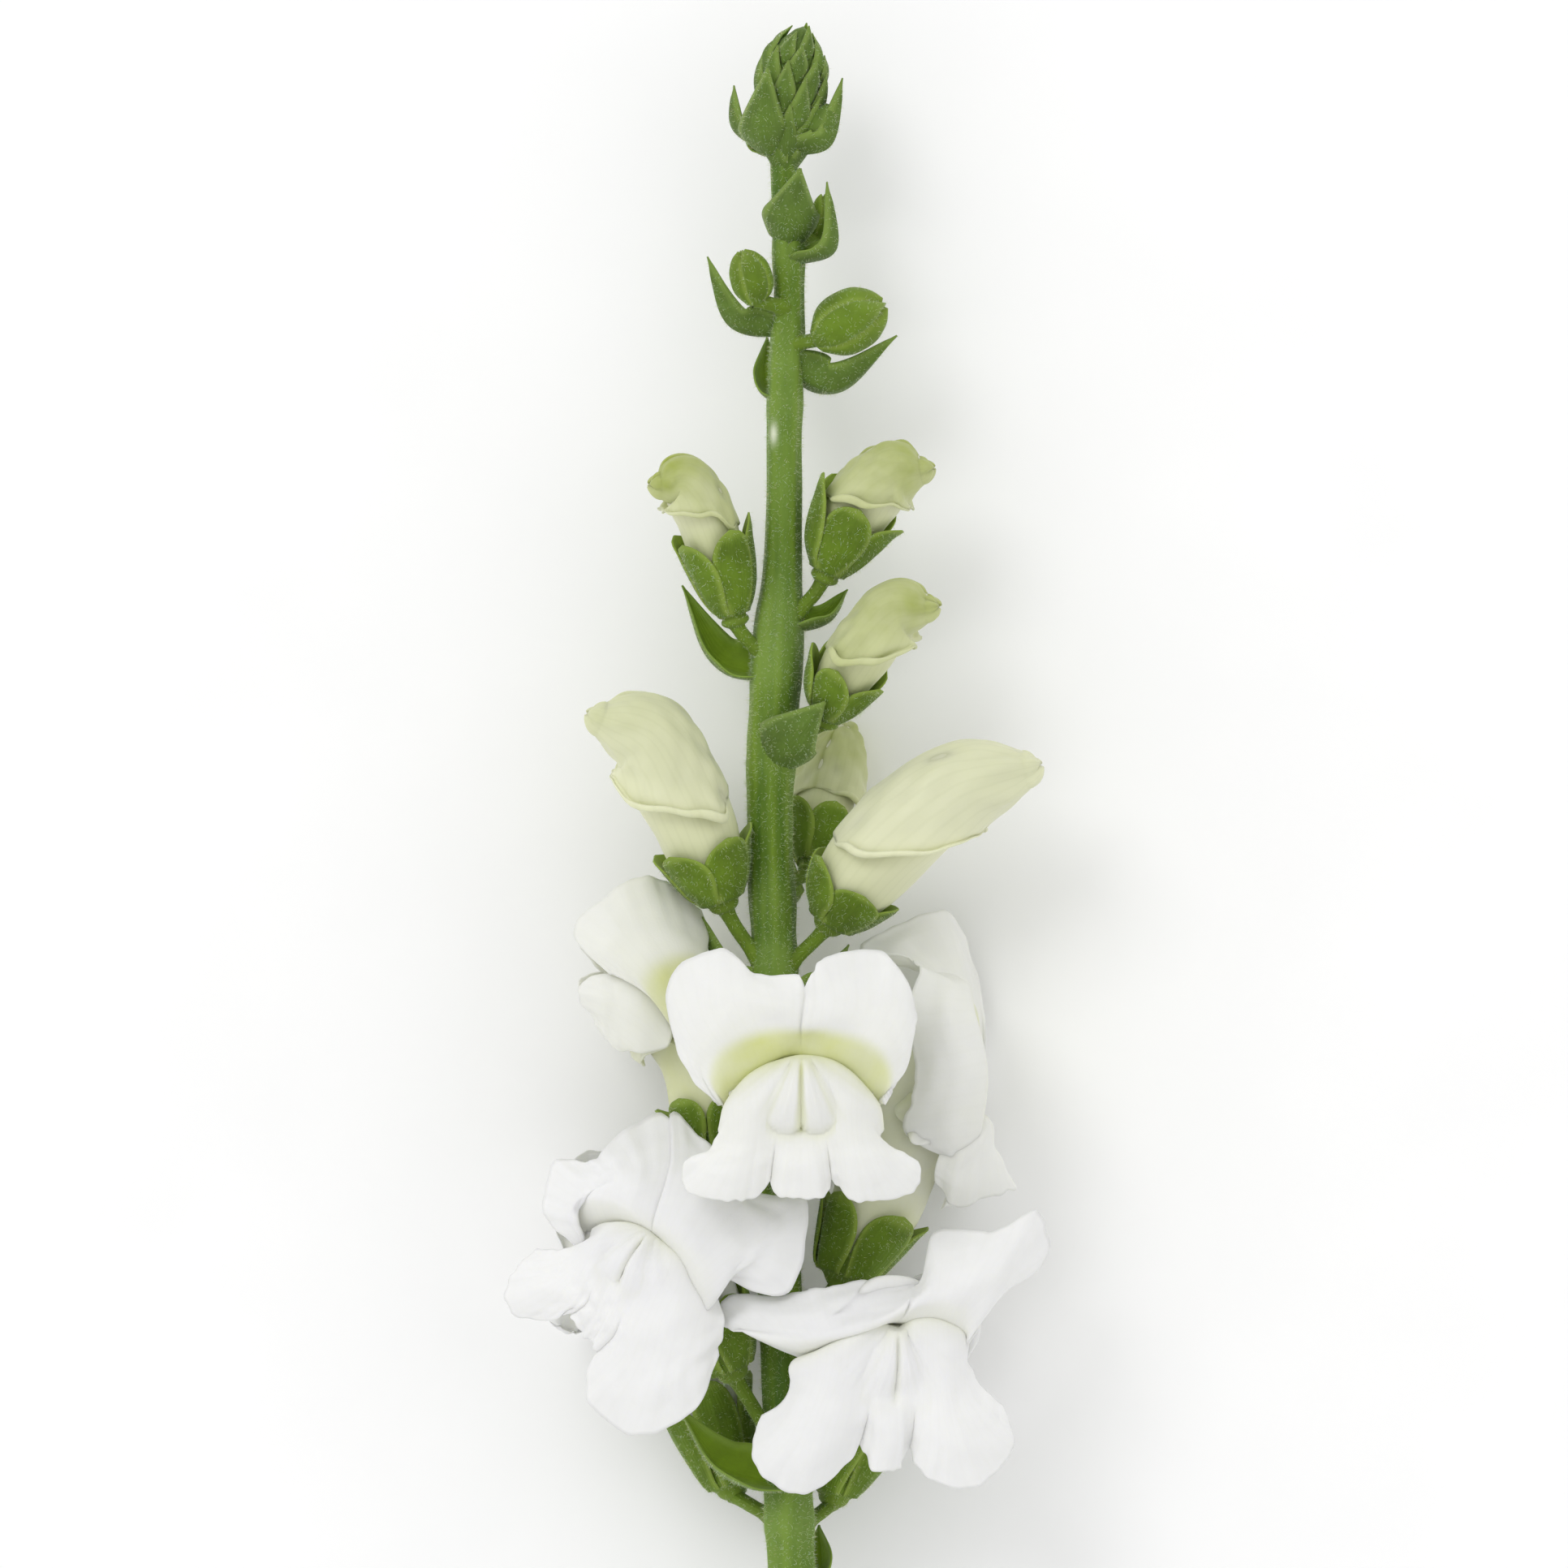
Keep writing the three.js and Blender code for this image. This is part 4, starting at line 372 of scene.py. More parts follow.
def shares(count):
    """Shares from 0 to 1, down a column."""
    return np.linspace(0, 1, count)[:, None]


def ring(count):
    """Angles round a full turn, in degrees."""
    return np.linspace(0, 360, count, endpoint=False)


def turned(axis, degrees):
    """The matrix that turns about an axis."""
    x, y, z = unit(np.array(axis, float))
    a = np.radians(degrees)
    cross = np.array([[0, -z, y], [z, 0, -x], [-y, x, 0]])
    return np.eye(3) + np.sin(a) * cross + (1 - np.cos(a)) * cross @ cross


class Path:
    """A curve with a frame that slides along it; curve gives the points at an array of shares."""

    def __init__(self, curve, up):
        self.curve = curve
        self.up = np.array(up, float)
        self.length = np.linalg.norm(np.diff(curve(np.linspace(0, 1, 201)), axis=0), axis=1).sum()

    def place(self, s, angle, r):
        """The points at distance r from the curve; angle runs from its right (0) to its upper side (90)."""
        s, angle, r = (x.astype(float) for x in np.broadcast_arrays(s, angle, r))
        shape = s.shape
        s, a, r = s.ravel(), np.radians(angle.ravel()), r.ravel()
        t = np.clip(s, 0, 1)
        tangent = unit(self.curve(np.minimum(t + 1e-4, 1)) - self.curve(np.maximum(t - 1e-4, 0)))
        right = unit(np.cross(self.up, tangent))
        upper = np.cross(tangent, right)
        centre = self.curve(t) + tangent * ((s - t) * self.length)[:, None]
        found = centre + right * (r * np.cos(a))[:, None] + upper * (r * np.sin(a))[:, None]
        return found.reshape(shape + (3,))


def through(points, up):
    return Path(lambda t: catmull(points, t), up)


def bezier(points, up):
    """A path along the quadratic or cubic Bezier curve of the given points."""
    p = np.array(points, float)
    weights = {3: (1, 2, 1), 4: (1, 3, 3, 1)}[len(p)]

    def curve(t):
        last = len(p) - 1
        return sum(w * ((1 - t) ** (last - i) * t**i)[:, None] * p[i] for i, w in enumerate(weights))

    return Path(curve, up)


def net_surface(net, u, v):
    """The smooth surface over a net of rows, as points [v, u]; v is a row's share, or one for each point."""
    p = extended(np.stack([catmull(row, u) for row in net]))
    at = np.clip(np.broadcast_to(v.reshape(len(v), -1), (len(v), len(u))), 0, 1) * (len(net) - 1)
    k = np.minimum(at.astype(int), len(net) - 2)
    column = np.arange(len(u))
    return hermite(*(p[k + i, column] for i in range(4)), (at - k)[..., None])


def ripple(u, seed, waves, falloff=0.6):
    """A smooth random line over u, about -1 to 1, as a sum of waves."""
    rng = np.random.default_rng(seed)
    total = sum(rng.uniform(0.5, 1) * k**-falloff * np.sin(2 * np.pi * (k * u + rng.random())) for k in waves)
    return total / sum(k**-falloff for k in waves)


def crinkle(x, y, seed, count=7):
    """Soft random folds over angles x and shares y, about -1 to 1."""
    rng = np.random.default_rng(seed)
    total = 0
    for _ in range(count):
        across, along = rng.integers(1, 6), rng.uniform(1, 4) * rng.choice([-1, 1])
        total = total + np.sin(across * x + 2 * np.pi * along * y + 2 * np.pi * rng.random())
    return total / count**0.5


# ---- meshes ----
class Body:
    """Collects the patches of one piece and makes its mesh.

    Of a point's marks, tone greens a petal and on a lip also holds painted shade; edge pales a rim and inner
    says that it is an inner face.
    """

    def __init__(self):
        self.points, self.marks, self.quads, self.uvs, self.hairy = [], [], [], [], []
        self.count = 0

    def grid(self, p, tone=0.0, edge=0.0, inner=0.0, wrap=False, flip=False, hairy=False):
        """A patch of quads over points p[row, column], and the number of its first point."""
        rows, columns = p.shape[:2]
        first = self.count
        self.points.append(p.reshape(-1, 3))
        marks = [np.broadcast_to(m, (rows, columns)).ravel() for m in (tone, edge, inner)]
        self.marks.append(np.stack(marks, axis=1))
        self.count += rows * columns
        across = columns if wrap else columns - 1
        r, c = (x.ravel() for x in np.meshgrid(np.arange(rows - 1), np.arange(across), indexing="ij"))
        corners = [(r, c), (r, c + 1), (r + 1, c + 1), (r + 1, c)]
        if flip:
            corners.reverse()
        self.quads.append(np.stack([first + i * columns + j % columns for i, j in corners], axis=1))
        spread = [np.stack([j / across, i / (rows - 1)], axis=1) for i, j in corners]
        self.uvs.append(np.stack(spread, axis=1))
        if hairy:
            self.hairy.append(self.quads[-1])
        return first

    def bridge(self, a, b):
        """Quads between two rows of points given by their numbers."""
        self.quads.append(np.stack([a[:-1], a[1:], b[1:], b[:-1]], axis=1))
        self.uvs.append(np.broadcast_to(np.array([0.5, 1.0]), (len(a) - 1, 4, 2)))

    def sheet(self, p, thickness, wrap=False, hairy=False, **marks):
        """A thin sheet about the surface p, whose outer face looks along column x row."""
        across = np.roll(p, -1, 1) - np.roll(p, 1, 1) if wrap else np.gradient(p, axis=1)
        normal = unit(np.cross(across, np.gradient(p, axis=0)))
        half = np.broadcast_to(thickness, p.shape[:2])[..., None] / 2
        rows, columns = p.shape[:2]
        front = self.grid(p + normal * half, wrap=wrap, hairy=hairy, **marks)
        back = self.grid(p - normal * half, wrap=wrap, flip=True, **{**marks, "inner": 1.0})
        edges = [(np.arange(columns), False), ((rows - 1) * columns + np.arange(columns), True)]
        if wrap:
            edges = [(np.append(e, e[0]), turn) for e, turn in edges]
        else:
            side = np.arange(rows) * columns
            edges += [(side, True), (side + columns - 1, False)]
        for e, turn in edges:
            self.bridge(*((front + e, back + e) if turn else (back + e, front + e)))

    def cap(self, first, columns, point, turn, inner=0.0):
        """Closes a ring of points with a centre, as quads that share it."""
        centre = self.count
        self.points.append(np.array([point], float))
        self.marks.append(np.array([[0.0, 0.0, inner]]))
        self.count += 1
        j = np.arange(0, columns, 2)
        a, b, c = (first + (j + i) % columns for i in range(3))
        quad = [np.full_like(a, centre), a, b, c]
        self.quads.append(np.stack([quad[0]] + (quad[:0:-1] if turn else quad[1:]), axis=1))
        self.uvs.append(np.full((len(j), 4, 2), 0.5))

    def build(self, name, node, slot, material):
        """Makes the piece, which takes the place of the node's solids."""
        quads = np.concatenate(self.quads)
        mesh = make_mesh(name, np.concatenate(self.points), quads)
        mesh.polygons.foreach_set("use_smooth", np.ones(len(quads), dtype=bool))
        uvs = np.concatenate(self.uvs).astype(float).ravel()
        mesh.uv_layers.new(name="UVMap").data.foreach_set("uv", uvs)
        for mark, values in zip(MARKS, np.concatenate(self.marks).T.astype(np.float32, order="C")):
            mesh.attributes.new(mark, "FLOAT", "POINT").data.foreach_set("value", values)
        place_piece(name, mesh, [node], material)


def make_mesh(name, points, faces):
    """A mesh in the shared frame, in metres, that nowhere dips under the table."""
    points = (points + LIFT) * MM
    points[:, 2] = np.maximum(points[:, 2], 0.0)
    mesh = bpy.data.meshes.new(name)
    mesh.vertices.add(len(points))
    mesh.vertices.foreach_set("co", points.ravel())
    mesh.loops.add(faces.size)
    mesh.loops.foreach_set("vertex_index", faces.ravel().astype(np.int32))
    mesh.polygons.add(len(faces))
    mesh.polygons.foreach_set("loop_start", np.arange(0, faces.size, faces.shape[1], dtype=np.int32))
    mesh.update(calc_edges=True)
    return mesh


def place_piece(name, mesh, nodes, material):
    """Puts a mesh in the scene as a piece of the one body."""
    piece = bpy.data.objects.new(name, mesh)
    bpy.context.scene.collection.objects.link(piece)
    mesh.materials.append(material)
    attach(piece, "root")
    if nodes:
        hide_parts(*nodes)


# ---- stem ----
def stem_centre(y):
    return np.stack([flow(STEM_LINE, y), y, np.zeros_like(y)], axis=-1)


def on_stem(y, angle, out=0.0):
    """The point at a height on the stem and an angle round it, a way out from its skin."""
    a = np.radians(angle)
    r = flow(STEM_RADIUS, y) + out
    return stem_centre(y) + np.stack([r * np.cos(a), np.zeros_like(r * a), r * np.sin(a)], axis=-1)


def stem_axis():
    """The stem: soft ridges, swellings where its branches leave, a scar, and the cut face."""
    body = Body()
    steps, sides = 320, 48
    y = np.linspace(CUT_END, NECK_END + 2, steps)[:, None]
    angle = -ring(sides)[None, :]
    a = np.radians(angle)
    twist = 0.012 * y
    ridge = 0.09 * np.cos(5 * a + twist) + 0.05 * np.cos(8 * a - 1.7 * twist)
    ridge = ridge + 0.03 * np.cos(13 * a + 3 * twist)
    knots = np.array([b[0][1] for b in BRACTS] + [f["root"][0] for f in FLOWERS + BUDS])
    swell = np.minimum(0.22 * bell(y - knots, 2.6).sum(axis=1, keepdims=True), 0.35)
    lumps = 0.06 * np.sin(0.31 * y + 2 * a) * np.sin(0.17 * y - a)
    y, angle = np.broadcast_arrays(y, angle)
    p = on_stem(y, angle, ridge + swell + lumps - 0.1)
    scar = bell(y - SCAR[1], 1.5) * bell(p[..., 0] - SCAR[0], 0.55) * (p[..., 2] > 0)
    first = body.grid(p, tone=scar, edge=swell / 0.35, wrap=True, hairy=True)
    # The cut face: a pale pith with a darker skin, a little hollow.
    hollow, rings = 0.5, np.linspace(1, 0.12, 8)[:, None, None]
    centre = stem_centre(np.array([CUT_END]))[0]
    face = centre + (p[0] - centre) * rings + np.array([0, hollow, 0]) * (1 - rings**2)
    start = body.grid(face, inner=np.clip(1.15 - rings[..., 0], 0, 1), wrap=True, flip=True)
    body.cap(start + (len(rings) - 1) * sides, sides, centre + [0, hollow, 0], turn=False, inner=1.0)
    top = stem_centre(np.array([NECK_END + 2]))[0]
    body.cap(first + (steps - 1) * sides, sides, top, turn=True)
    return body


def leaf_surface(root, belly, tip, width, back, seed, cup=0.35, across=17, along=29):
    """The points of a cupped leaf whose outer side faces back, and how near its rim each one is."""
    v = np.linspace(0, 1, along)
    share = np.linspace(-1, 1, across)[None, :]
    rib = catmull([root, belly, tip], v)
    tangent = unit(np.gradient(rib, axis=0))
    side = unit(np.cross(tangent, np.array(back, float)))
    out = np.cross(side, tangent)
    half = width / 2 * np.maximum(0.03, np.sin(np.pi * np.clip(0.16 + 0.84 * v, 0, 1) ** 0.8))[:, None]
    rng = np.random.default_rng(seed)
    wave = 0.05 * half * np.sin(2 * np.pi * (2.3 * v[:, None] + rng.random())) * share * np.abs(share)
    keel = 0.16 * bell(share, 0.13) * np.minimum(1, half)
    veins = 0.05 * np.cos(2 * np.pi * 3 * share) * (1 - v[:, None])
    lift = -cup * 2 * half * share**2 + keel + veins + wave
    p = rib[:, None] + side[:, None] * (half * share)[..., None] + out[:, None] * lift[..., None]
    rim = step(1.0, 0.35, np.minimum((1 - np.abs(share)) * half, (1 - v[:, None]) * 6 + 0.15))
    return p, rim


def add_leaf(body, leaf, seed, thickness=LEAF_SHEET, **size):
    """Adds a leaf whose outer, hairy face is its back."""
    p, rim = leaf_surface(*leaf, seed, **size)
    body.sheet(p, thickness * (1 - 0.5 * rim), edge=rim, hairy=True)


def bracts():
    body = Body()
    for i, bract in enumerate(BRACTS):
        add_leaf(body, bract, 10 + i)
    return body


def tip():
    """The cone of young scales at the stem's end, the leaves round it and a small bud at its side."""
    body = Body()
    axis = through(TIP_LINE, (0, 0, 1))
    rows, sides = 24, 24
    s, angle = shares(rows), ring(sides)[None, :]
    first = body.grid(axis.place(s, angle, flow(TIP_SHAPE, s) * 0.86), wrap=True)
    body.cap(first + (rows - 1) * sides, sides, axis.place(1.03, 0, 0), turn=False)
    for i in range(SCALES):
        rise = i / (SCALES - 1)
        low, turn = 0.06 + 0.72 * rise, GOLDEN * i + 40
        end = low + 0.34 - 0.06 * rise
        root = axis.place(low, turn, flow(TIP_SHAPE, low) - 0.7)
        belly = axis.place(low + 0.13, turn, flow(TIP_SHAPE, low + 0.13) + 0.35)
        point = axis.place(end, turn, flow(TIP_SHAPE, min(end, 1)) * (1 if end < 0.9 else 0.9) + 0.55)
        back = axis.place(low, turn, 1) - axis.place(low, turn, 0)
        leaf = (root, belly, point, 4.9 - 2.2 * rise, back)
        add_leaf(body, leaf, 100 + i, SCALE_SHEET, cup=0.3, across=11, along=15)
    for i, leaf in enumerate(TIP_LEAVES):
        add_leaf(body, leaf, 200 + i)
    small = through(SIDE_BUD, (0, 0, 1))
    s = shares(20)
    seam = np.abs(np.cos(np.radians(2 * angle)))
    r = flow([(0, 1.2), (0.5, 2.1), (0.85, 1.5), (1, 0.3)], s) * (1 - 0.08 * seam**8)
    body.grid(small.place(s, angle, r), edge=0.6 * seam**12, wrap=True, hairy=True)
    return body


# ---- flowers ----
def mirror(net):
    return [[(-x, y, z) for x, y, z in row] for row in net]


def shaped(net, hinge, fold=0, reach=1, turn=0, tilt=0):
    """Bends, lengthens and turns a net past its hinge row, as the CAD does."""
    net = [np.array(row, float) for row in net]
    middle = [catmull(net[k], np.array([0.5]))[0] for k in (hinge, -1)]
    pivot = middle[0]
    out = unit((middle[1] - pivot) * [1, 1, 0])
    rows = []
    for k, row in enumerate(net):
        share = max(0, (k - hinge) / (len(net) - 1 - hinge))
        matrix = (turned((1, 0, 0), -tilt * share) @ turned((0, 0, 1), turn * share)
                  @ turned((-out[1], out[0], 0), fold * share))
        rows.append((row - pivot) * (1 + (reach - 1) * share) @ matrix.T + pivot)
    return rows


def foot_rise(x):
    """How far the twin boss's lower edge rises away from the middle of each half."""
    return 1.3 * ((np.abs(x) - 2.4) / 2.6) ** 2


def boss_height(x, y):
    """How far out the twin boss that closes the throat stands, over the flower's x and y."""
    half, high = (flow([(b[0], b[i]) for b in BOSS], y) for i in (1, 2))
    ends = step(-12.2, -11, y - foot_rise(x)) * step(1.4, -0.6, y)
    round_off = np.sqrt(np.maximum(0, 1 - (x / half) ** 2))
    return (2.4 + high * round_off - 4 * np.maximum(0, np.abs(x) - half)) * ends - 6 * (1 - ends)


def pleats(x, y):
    """The cleft of the twin boss and the soft folds that fan out from the top of the palate."""
    fan = np.degrees(np.arctan2(np.abs(x), 2 - y))
    from_top = np.hypot(x, 2 - y)
    reach = step(1.5, 5, from_top) * step(14.5, 10.5, from_top)
    folds = 0.17 * np.cos(np.radians(360 * (fan - 13) / 26)) * step(74, 34, fan)
    fine = 0.045 * np.cos(np.radians(360 * fan / 7)) * step(60, 44, fan)
    cleft = (0.9 * bell(x, 0.42) + 0.35 * bell(x, 1.1) * step(-6, -10, y)) * step(-12, -10.4, y)
    return (folds + fine - cleft) * reach


def smooth_max(a, b, width):
    h = np.clip(0.5 + 0.5 * (b - a) / width, 0, 1)
    return a + (b - a) * h + width * h * (1 - h)


def notched(p, depth):
    """A surface drawn back along its columns by a depth at each point."""
    return p - unit(np.gradient(p, axis=0)) * depth[..., None]


def rim_play(p, u, v, seed, rough):
    """Small ruffles, a soft unevenness and a scalloped rim on a petal's surface."""
    uu, vv = u[None, :], v[:, None]
    along = unit(np.gradient(p, axis=0))
    normal = unit(np.cross(np.gradient(p, axis=1), along))
    blade = step(0.4, 0.75, vv)
    soft = 0.32 * crinkle(5 * uu, 0.8 * vv, seed) * np.sin(np.pi * np.clip(vv * 1.1, 0, 1))
    lines = 0.26 * crinkle(9 * uu, 2 * vv, seed + 5) + 0.04 * crinkle(19 * uu, 5 * vv, seed + 6)
    painted_crease_shade = (rough - 0.5) * blade * lines
    ruffle = 0.62 * ripple(uu, seed + 1, (5, 7, 9)) + 0.26 * ripple(uu, seed + 2, (15, 19, 24))
    scallop = 0.75 * ripple(uu, seed + 3, (4, 6, 9)) + 0.34 * ripple(uu, seed + 4, (15, 21, 28))
    out = soft + painted_crease_shade + rough * vv**4 * ruffle
    return p + normal * out[..., None] + along * (rough * vv**6 * scallop)[..., None]


class Corolla(Body):
    """An open flower: its upper lip, its lower lip with the palate, and the tube behind them."""

    def __init__(self, flower, seed):
        super().__init__()
        self.flower, self.seed = flower, seed
        self.facing = unit(np.array(flower["facing"], float))
        self.right = unit(np.cross(flower["up"], self.facing))
        self.basis = np.stack([self.right, np.cross(self.facing, self.right), self.facing])
        self.mouth = np.array(flower["mouth"], float)
        self.lobes = flower.get("lobes", {})
        self.own = {part: rows for (name, part), rows in ROWS.items() if name == flower["name"]}
        self.phase, self.tint_and_shade, self.wash = flower["phase"], flower["tint_and_shade"], flower.get("wash", 0.0)
        self.rough = flower.get("rough", 0.8)
        self.upper_lip()
        self.lower_lip()
        self.tube()

    def size(self, count):
        """An odd number near count, smaller on a flower that hardly shows."""
        return int(count * self.flower.get("detail", FLOWER_DETAIL)) | 1

    def carried(self, key, net, hinge):
        """A lobe's net in the stem's frame, with the rows that the flower sets itself."""
        net = [row @ self.basis + self.mouth for row in shaped(net, hinge, **self.lobes.get(key, {}))]
        given = self.own.get(key, {})
        if key.endswith("left") and not given:
            for k, row in self.own.get(key.replace("left", "right"), {}).items():
                far = np.array(row) - self.mouth
                far = far - 2 * (far @ self.right)[:, None] * self.right
                given = {**given, k: self.mouth + far * (FAR_SHARE if k > 2 else 1)}
        return [np.array(given.get(k, row), float) for k, row in enumerate(net)]

    def lip(self, net, u, v, height, turns, seed, round_off):
        """A lip's surface: its waving rim, rounded corners and small play."""
        corner = 1 - round_off * np.abs(2 * u - 1)[None, :] ** 12 * v[:, None] ** 3
        p = net_surface(net, u, v[:, None] * corner)
        wave = height * v[:, None] ** 3 * np.sin(2 * np.pi * turns)[None, :]
        return rim_play(p + self.facing * wave[..., None], u, v, seed, self.rough)

    def petal(self, p, v, tone):
        """A sheet that thins towards its rim."""
        self.sheet(p, PETAL_SHEET * (1 - 0.4 * v[:, None] ** 8), tone=np.clip(tone + self.wash, 0, 1))

    def upper_lip(self):
        """Two lobes, one over the other along the cleft between them."""
        lobe = [self.flower.get("fold", row) if k == 2 else row for k, row in enumerate(UPPER_LOBE)]
        left, right = self.carried("upper_left", lobe, 2), self.carried("upper_right", mirror(lobe), 2)
        net = []
        for k, (a, b) in enumerate(zip(left, right)):
            low = np.array([0, -0.12 * k, -0.5 * CLEFT]) @ self.basis
            row = np.concatenate([a[:0:-1], [(a[0] + b[0]) / 2 + low], b[1:]])
            net.append(np.array(self.own.get("upper", {}).get(k, row), float))
        u, v = np.linspace(0, 1, self.size(121)), np.linspace(0, 1, self.size(45))
        p = self.lip(net, u, v, height=0.9, turns=4 * u + self.phase, seed=self.seed, round_off=0.16)
        from_cleft, down = (u - 0.5)[None, :], v[:, None]
        overlap = 0.4 * np.exp(-np.abs(from_cleft) / 0.035) * np.sign(from_cleft)
        slit = (0.75 * bell(from_cleft, 0.006) - overlap) * step(0.3, 0.6, down)
        p = p - self.facing * slit[..., None]
        p = notched(p, 2.2 * bell(from_cleft, 0.011) * down**8)
        # Between the fold and the palate: a yellow-green throat tint that is partly painted shade of the
        # recess, darkest at the cleft.
        throat_tint_and_recess_shade = step(0.57, 0.45, down) * step(0.02, 0.14, down) * (1 - 0.5 * np.abs(2 * u - 1) ** 2)[None, :]
        self.petal(p, v, throat_tint_and_recess_shade * (0.05 + 1.15 * self.tint_and_shade) + 0.2 * self.tint_and_shade * step(0.95, 0.3, down))

    def lower_lip(self):
        """Three lobes and the palate in one sheet, with a seam on both sides of the middle lobe."""
        left = self.carried("lower_left", LOWER_LOBE, 3)
        right = self.carried("lower_right", mirror(LOWER_LOBE), 3)
        hinge, reach = MIDDLE_LOBE[3][1], self.lobes.get("middle", {}).get("reach", 1.0)
        net = []
        for k, (a, m, b) in enumerate(zip(left, MIDDLE_LOBE, right)):
            m = np.array([m, (-m[0], m[1], m[2])], float)
            if k > 3:
                m[:, 1] = hinge + (m[:, 1] - hinge) * reach
            m = np.array(self.own.get("middle", {}).get(k, m @ self.basis + self.mouth), float)
            net.append(np.concatenate([a[::-1], m, b]))
        u, v = np.linspace(0, 1, self.size(157)), np.linspace(0, 1, self.size(71))
        turns = 1.5 * np.where(u < 0.5, 1 - 2.25 * u, 2.25 * u - 1.25) + self.phase + 0.3
        p = self.lip(net, u, v, height=0.6, turns=turns, seed=self.seed + 20, round_off=0.12)
        down, from_seam = v[:, None], np.minimum(np.abs(u - SEAM), np.abs(u - (1 - SEAM)))[None, :]
        p = notched(p, 0.9 * bell(from_seam, 0.012) * down**10)
        palate = self.flower.get("palate", 1.0)
        local = (p - self.mouth) @ self.basis.T
        x, y = local[..., 0] / palate, local[..., 1] / palate
        folds = pleats(x, y)
        raised = smooth_max(local[..., 2], palate * boss_height(x, y), 1.1) + palate * folds
        middle = (np.abs(u - 0.5) < 0.5 - SEAM)[None, :]
        sunk = 0.45 * bell(from_seam, 0.007) + 0.3 * middle * np.exp(-from_seam / 0.03)
        raised = raised - sunk * step(0.6, 0.85, down)
        local[..., 2] = np.where(down > 0.12, raised, local[..., 2])
        # Painted shade: greener colour in the pleats' valleys and the boss's cleft, and a painted shadow just
        # under the twin boss's lower edge; near mixes these with an even throat tint.
        under = 0.7 * bell(y + 11.8 - foot_rise(x), 1.1) * (np.abs(x) < 5.4)
        painted_crease_shade = np.clip(-2.5 * folds, 0, 1) + under
        near = (0.12 * self.tint_and_shade + painted_crease_shade * (0.06 + 0.5 * self.tint_and_shade)) * step(0.9, 0.4, down)
        deep = step(0.36, 0.12, down) * (0.25 + 0.6 * self.tint_and_shade)
        self.petal(local @ self.basis + self.mouth, v, deep + near)

    def tube(self):
        """The tube, which opens out to the backs of the lips."""
        sides = self.size(60) - 1
        angle = np.linspace(-90, 270, sides, endpoint=False)
        s = np.linspace(-0.01, 0.9, self.size(31))[:, None]
        soft = 0.16 * crinkle(np.radians(angle)[None, :], s, self.seed + 60) * step(0.1, 0.4, s)
        rings = self.flower["path"].place(s, angle[None, :], self.flower["radius"](s, angle[None, :]) + soft)
        folded = np.where(angle > 90, 180 - angle, angle)
        angles, points = [a for a, _ in FLARE], np.array([q for _, q in FLARE], float)
        rim = np.stack([np.interp(folded, angles, points[:, i]) for i in range(3)], axis=1)
        top_rise, top_out, low_rise, low_out = self.flower.get("flare", (1, 0, 1, 0))
        upward = np.sin(np.radians(folded))
        rim[:, 0] *= np.where(angle > 90, -1, 1)
        rim[:, 1] *= np.where(upward > 0, top_rise, low_rise)
        rim[:, 2] += np.where(upward > 0, top_out, low_out) * np.abs(upward)
        ends = np.stack([rings[-4], rings[-1], rim @ self.basis + self.mouth])
        flared = net_surface(ends, np.linspace(0, 1, sides), np.linspace(0.5, 1, 10)[1:])
        rings = np.concatenate([rings, flared])
        fade = np.linspace(0.85, 0.15, len(rings))[:, None] ** 0.8
        tone = fade * (0.1 + 0.8 * self.tint_and_shade) * np.ones(sides) + 2.2 * self.wash
        self.sheet(rings, PETAL_SHEET, wrap=True, tone=np.clip(tone, 0, 1))


def throat(s, angle):
    """How thick a corolla's tube is, with a pouch on its lower side near the base."""
    around = flow([(0, 3.3), (0.12, 4.7), (0.35, 5.8), (0.7, 6.4), (1, 7.4)], s)
    pouch = 0.9 * bell(s - 0.16, 0.12) * np.maximum(0, -np.sin(np.radians(angle)))
    return around + pouch


# ---- calyx ----
def add_stalk(body, end, root):
    """Adds a bent stalk from the stem, at root's height and angle, to end."""
    y, angle = (np.array(float(x)) for x in root)
    away = on_stem(y + 0.4 * (end[1] - y), angle, 2.0)
    path = bezier([on_stem(y, angle, -0.9), away, end + (away - end) * 0.45, end], (0.31, 0.17, 0.93))
    s = shares(30)
    around = ring(20)[None, :]
    r = flow([(0, 1.75), (0.16, 1.25), (0.5, 1.1), (0.85, 1.2), (1, 1.4)], s)
    r = r + 0.05 * np.cos(np.radians(5 * around + 90 * s))
    body.grid(path.place(s, around, r), wrap=True, hairy=True, edge=0.15)


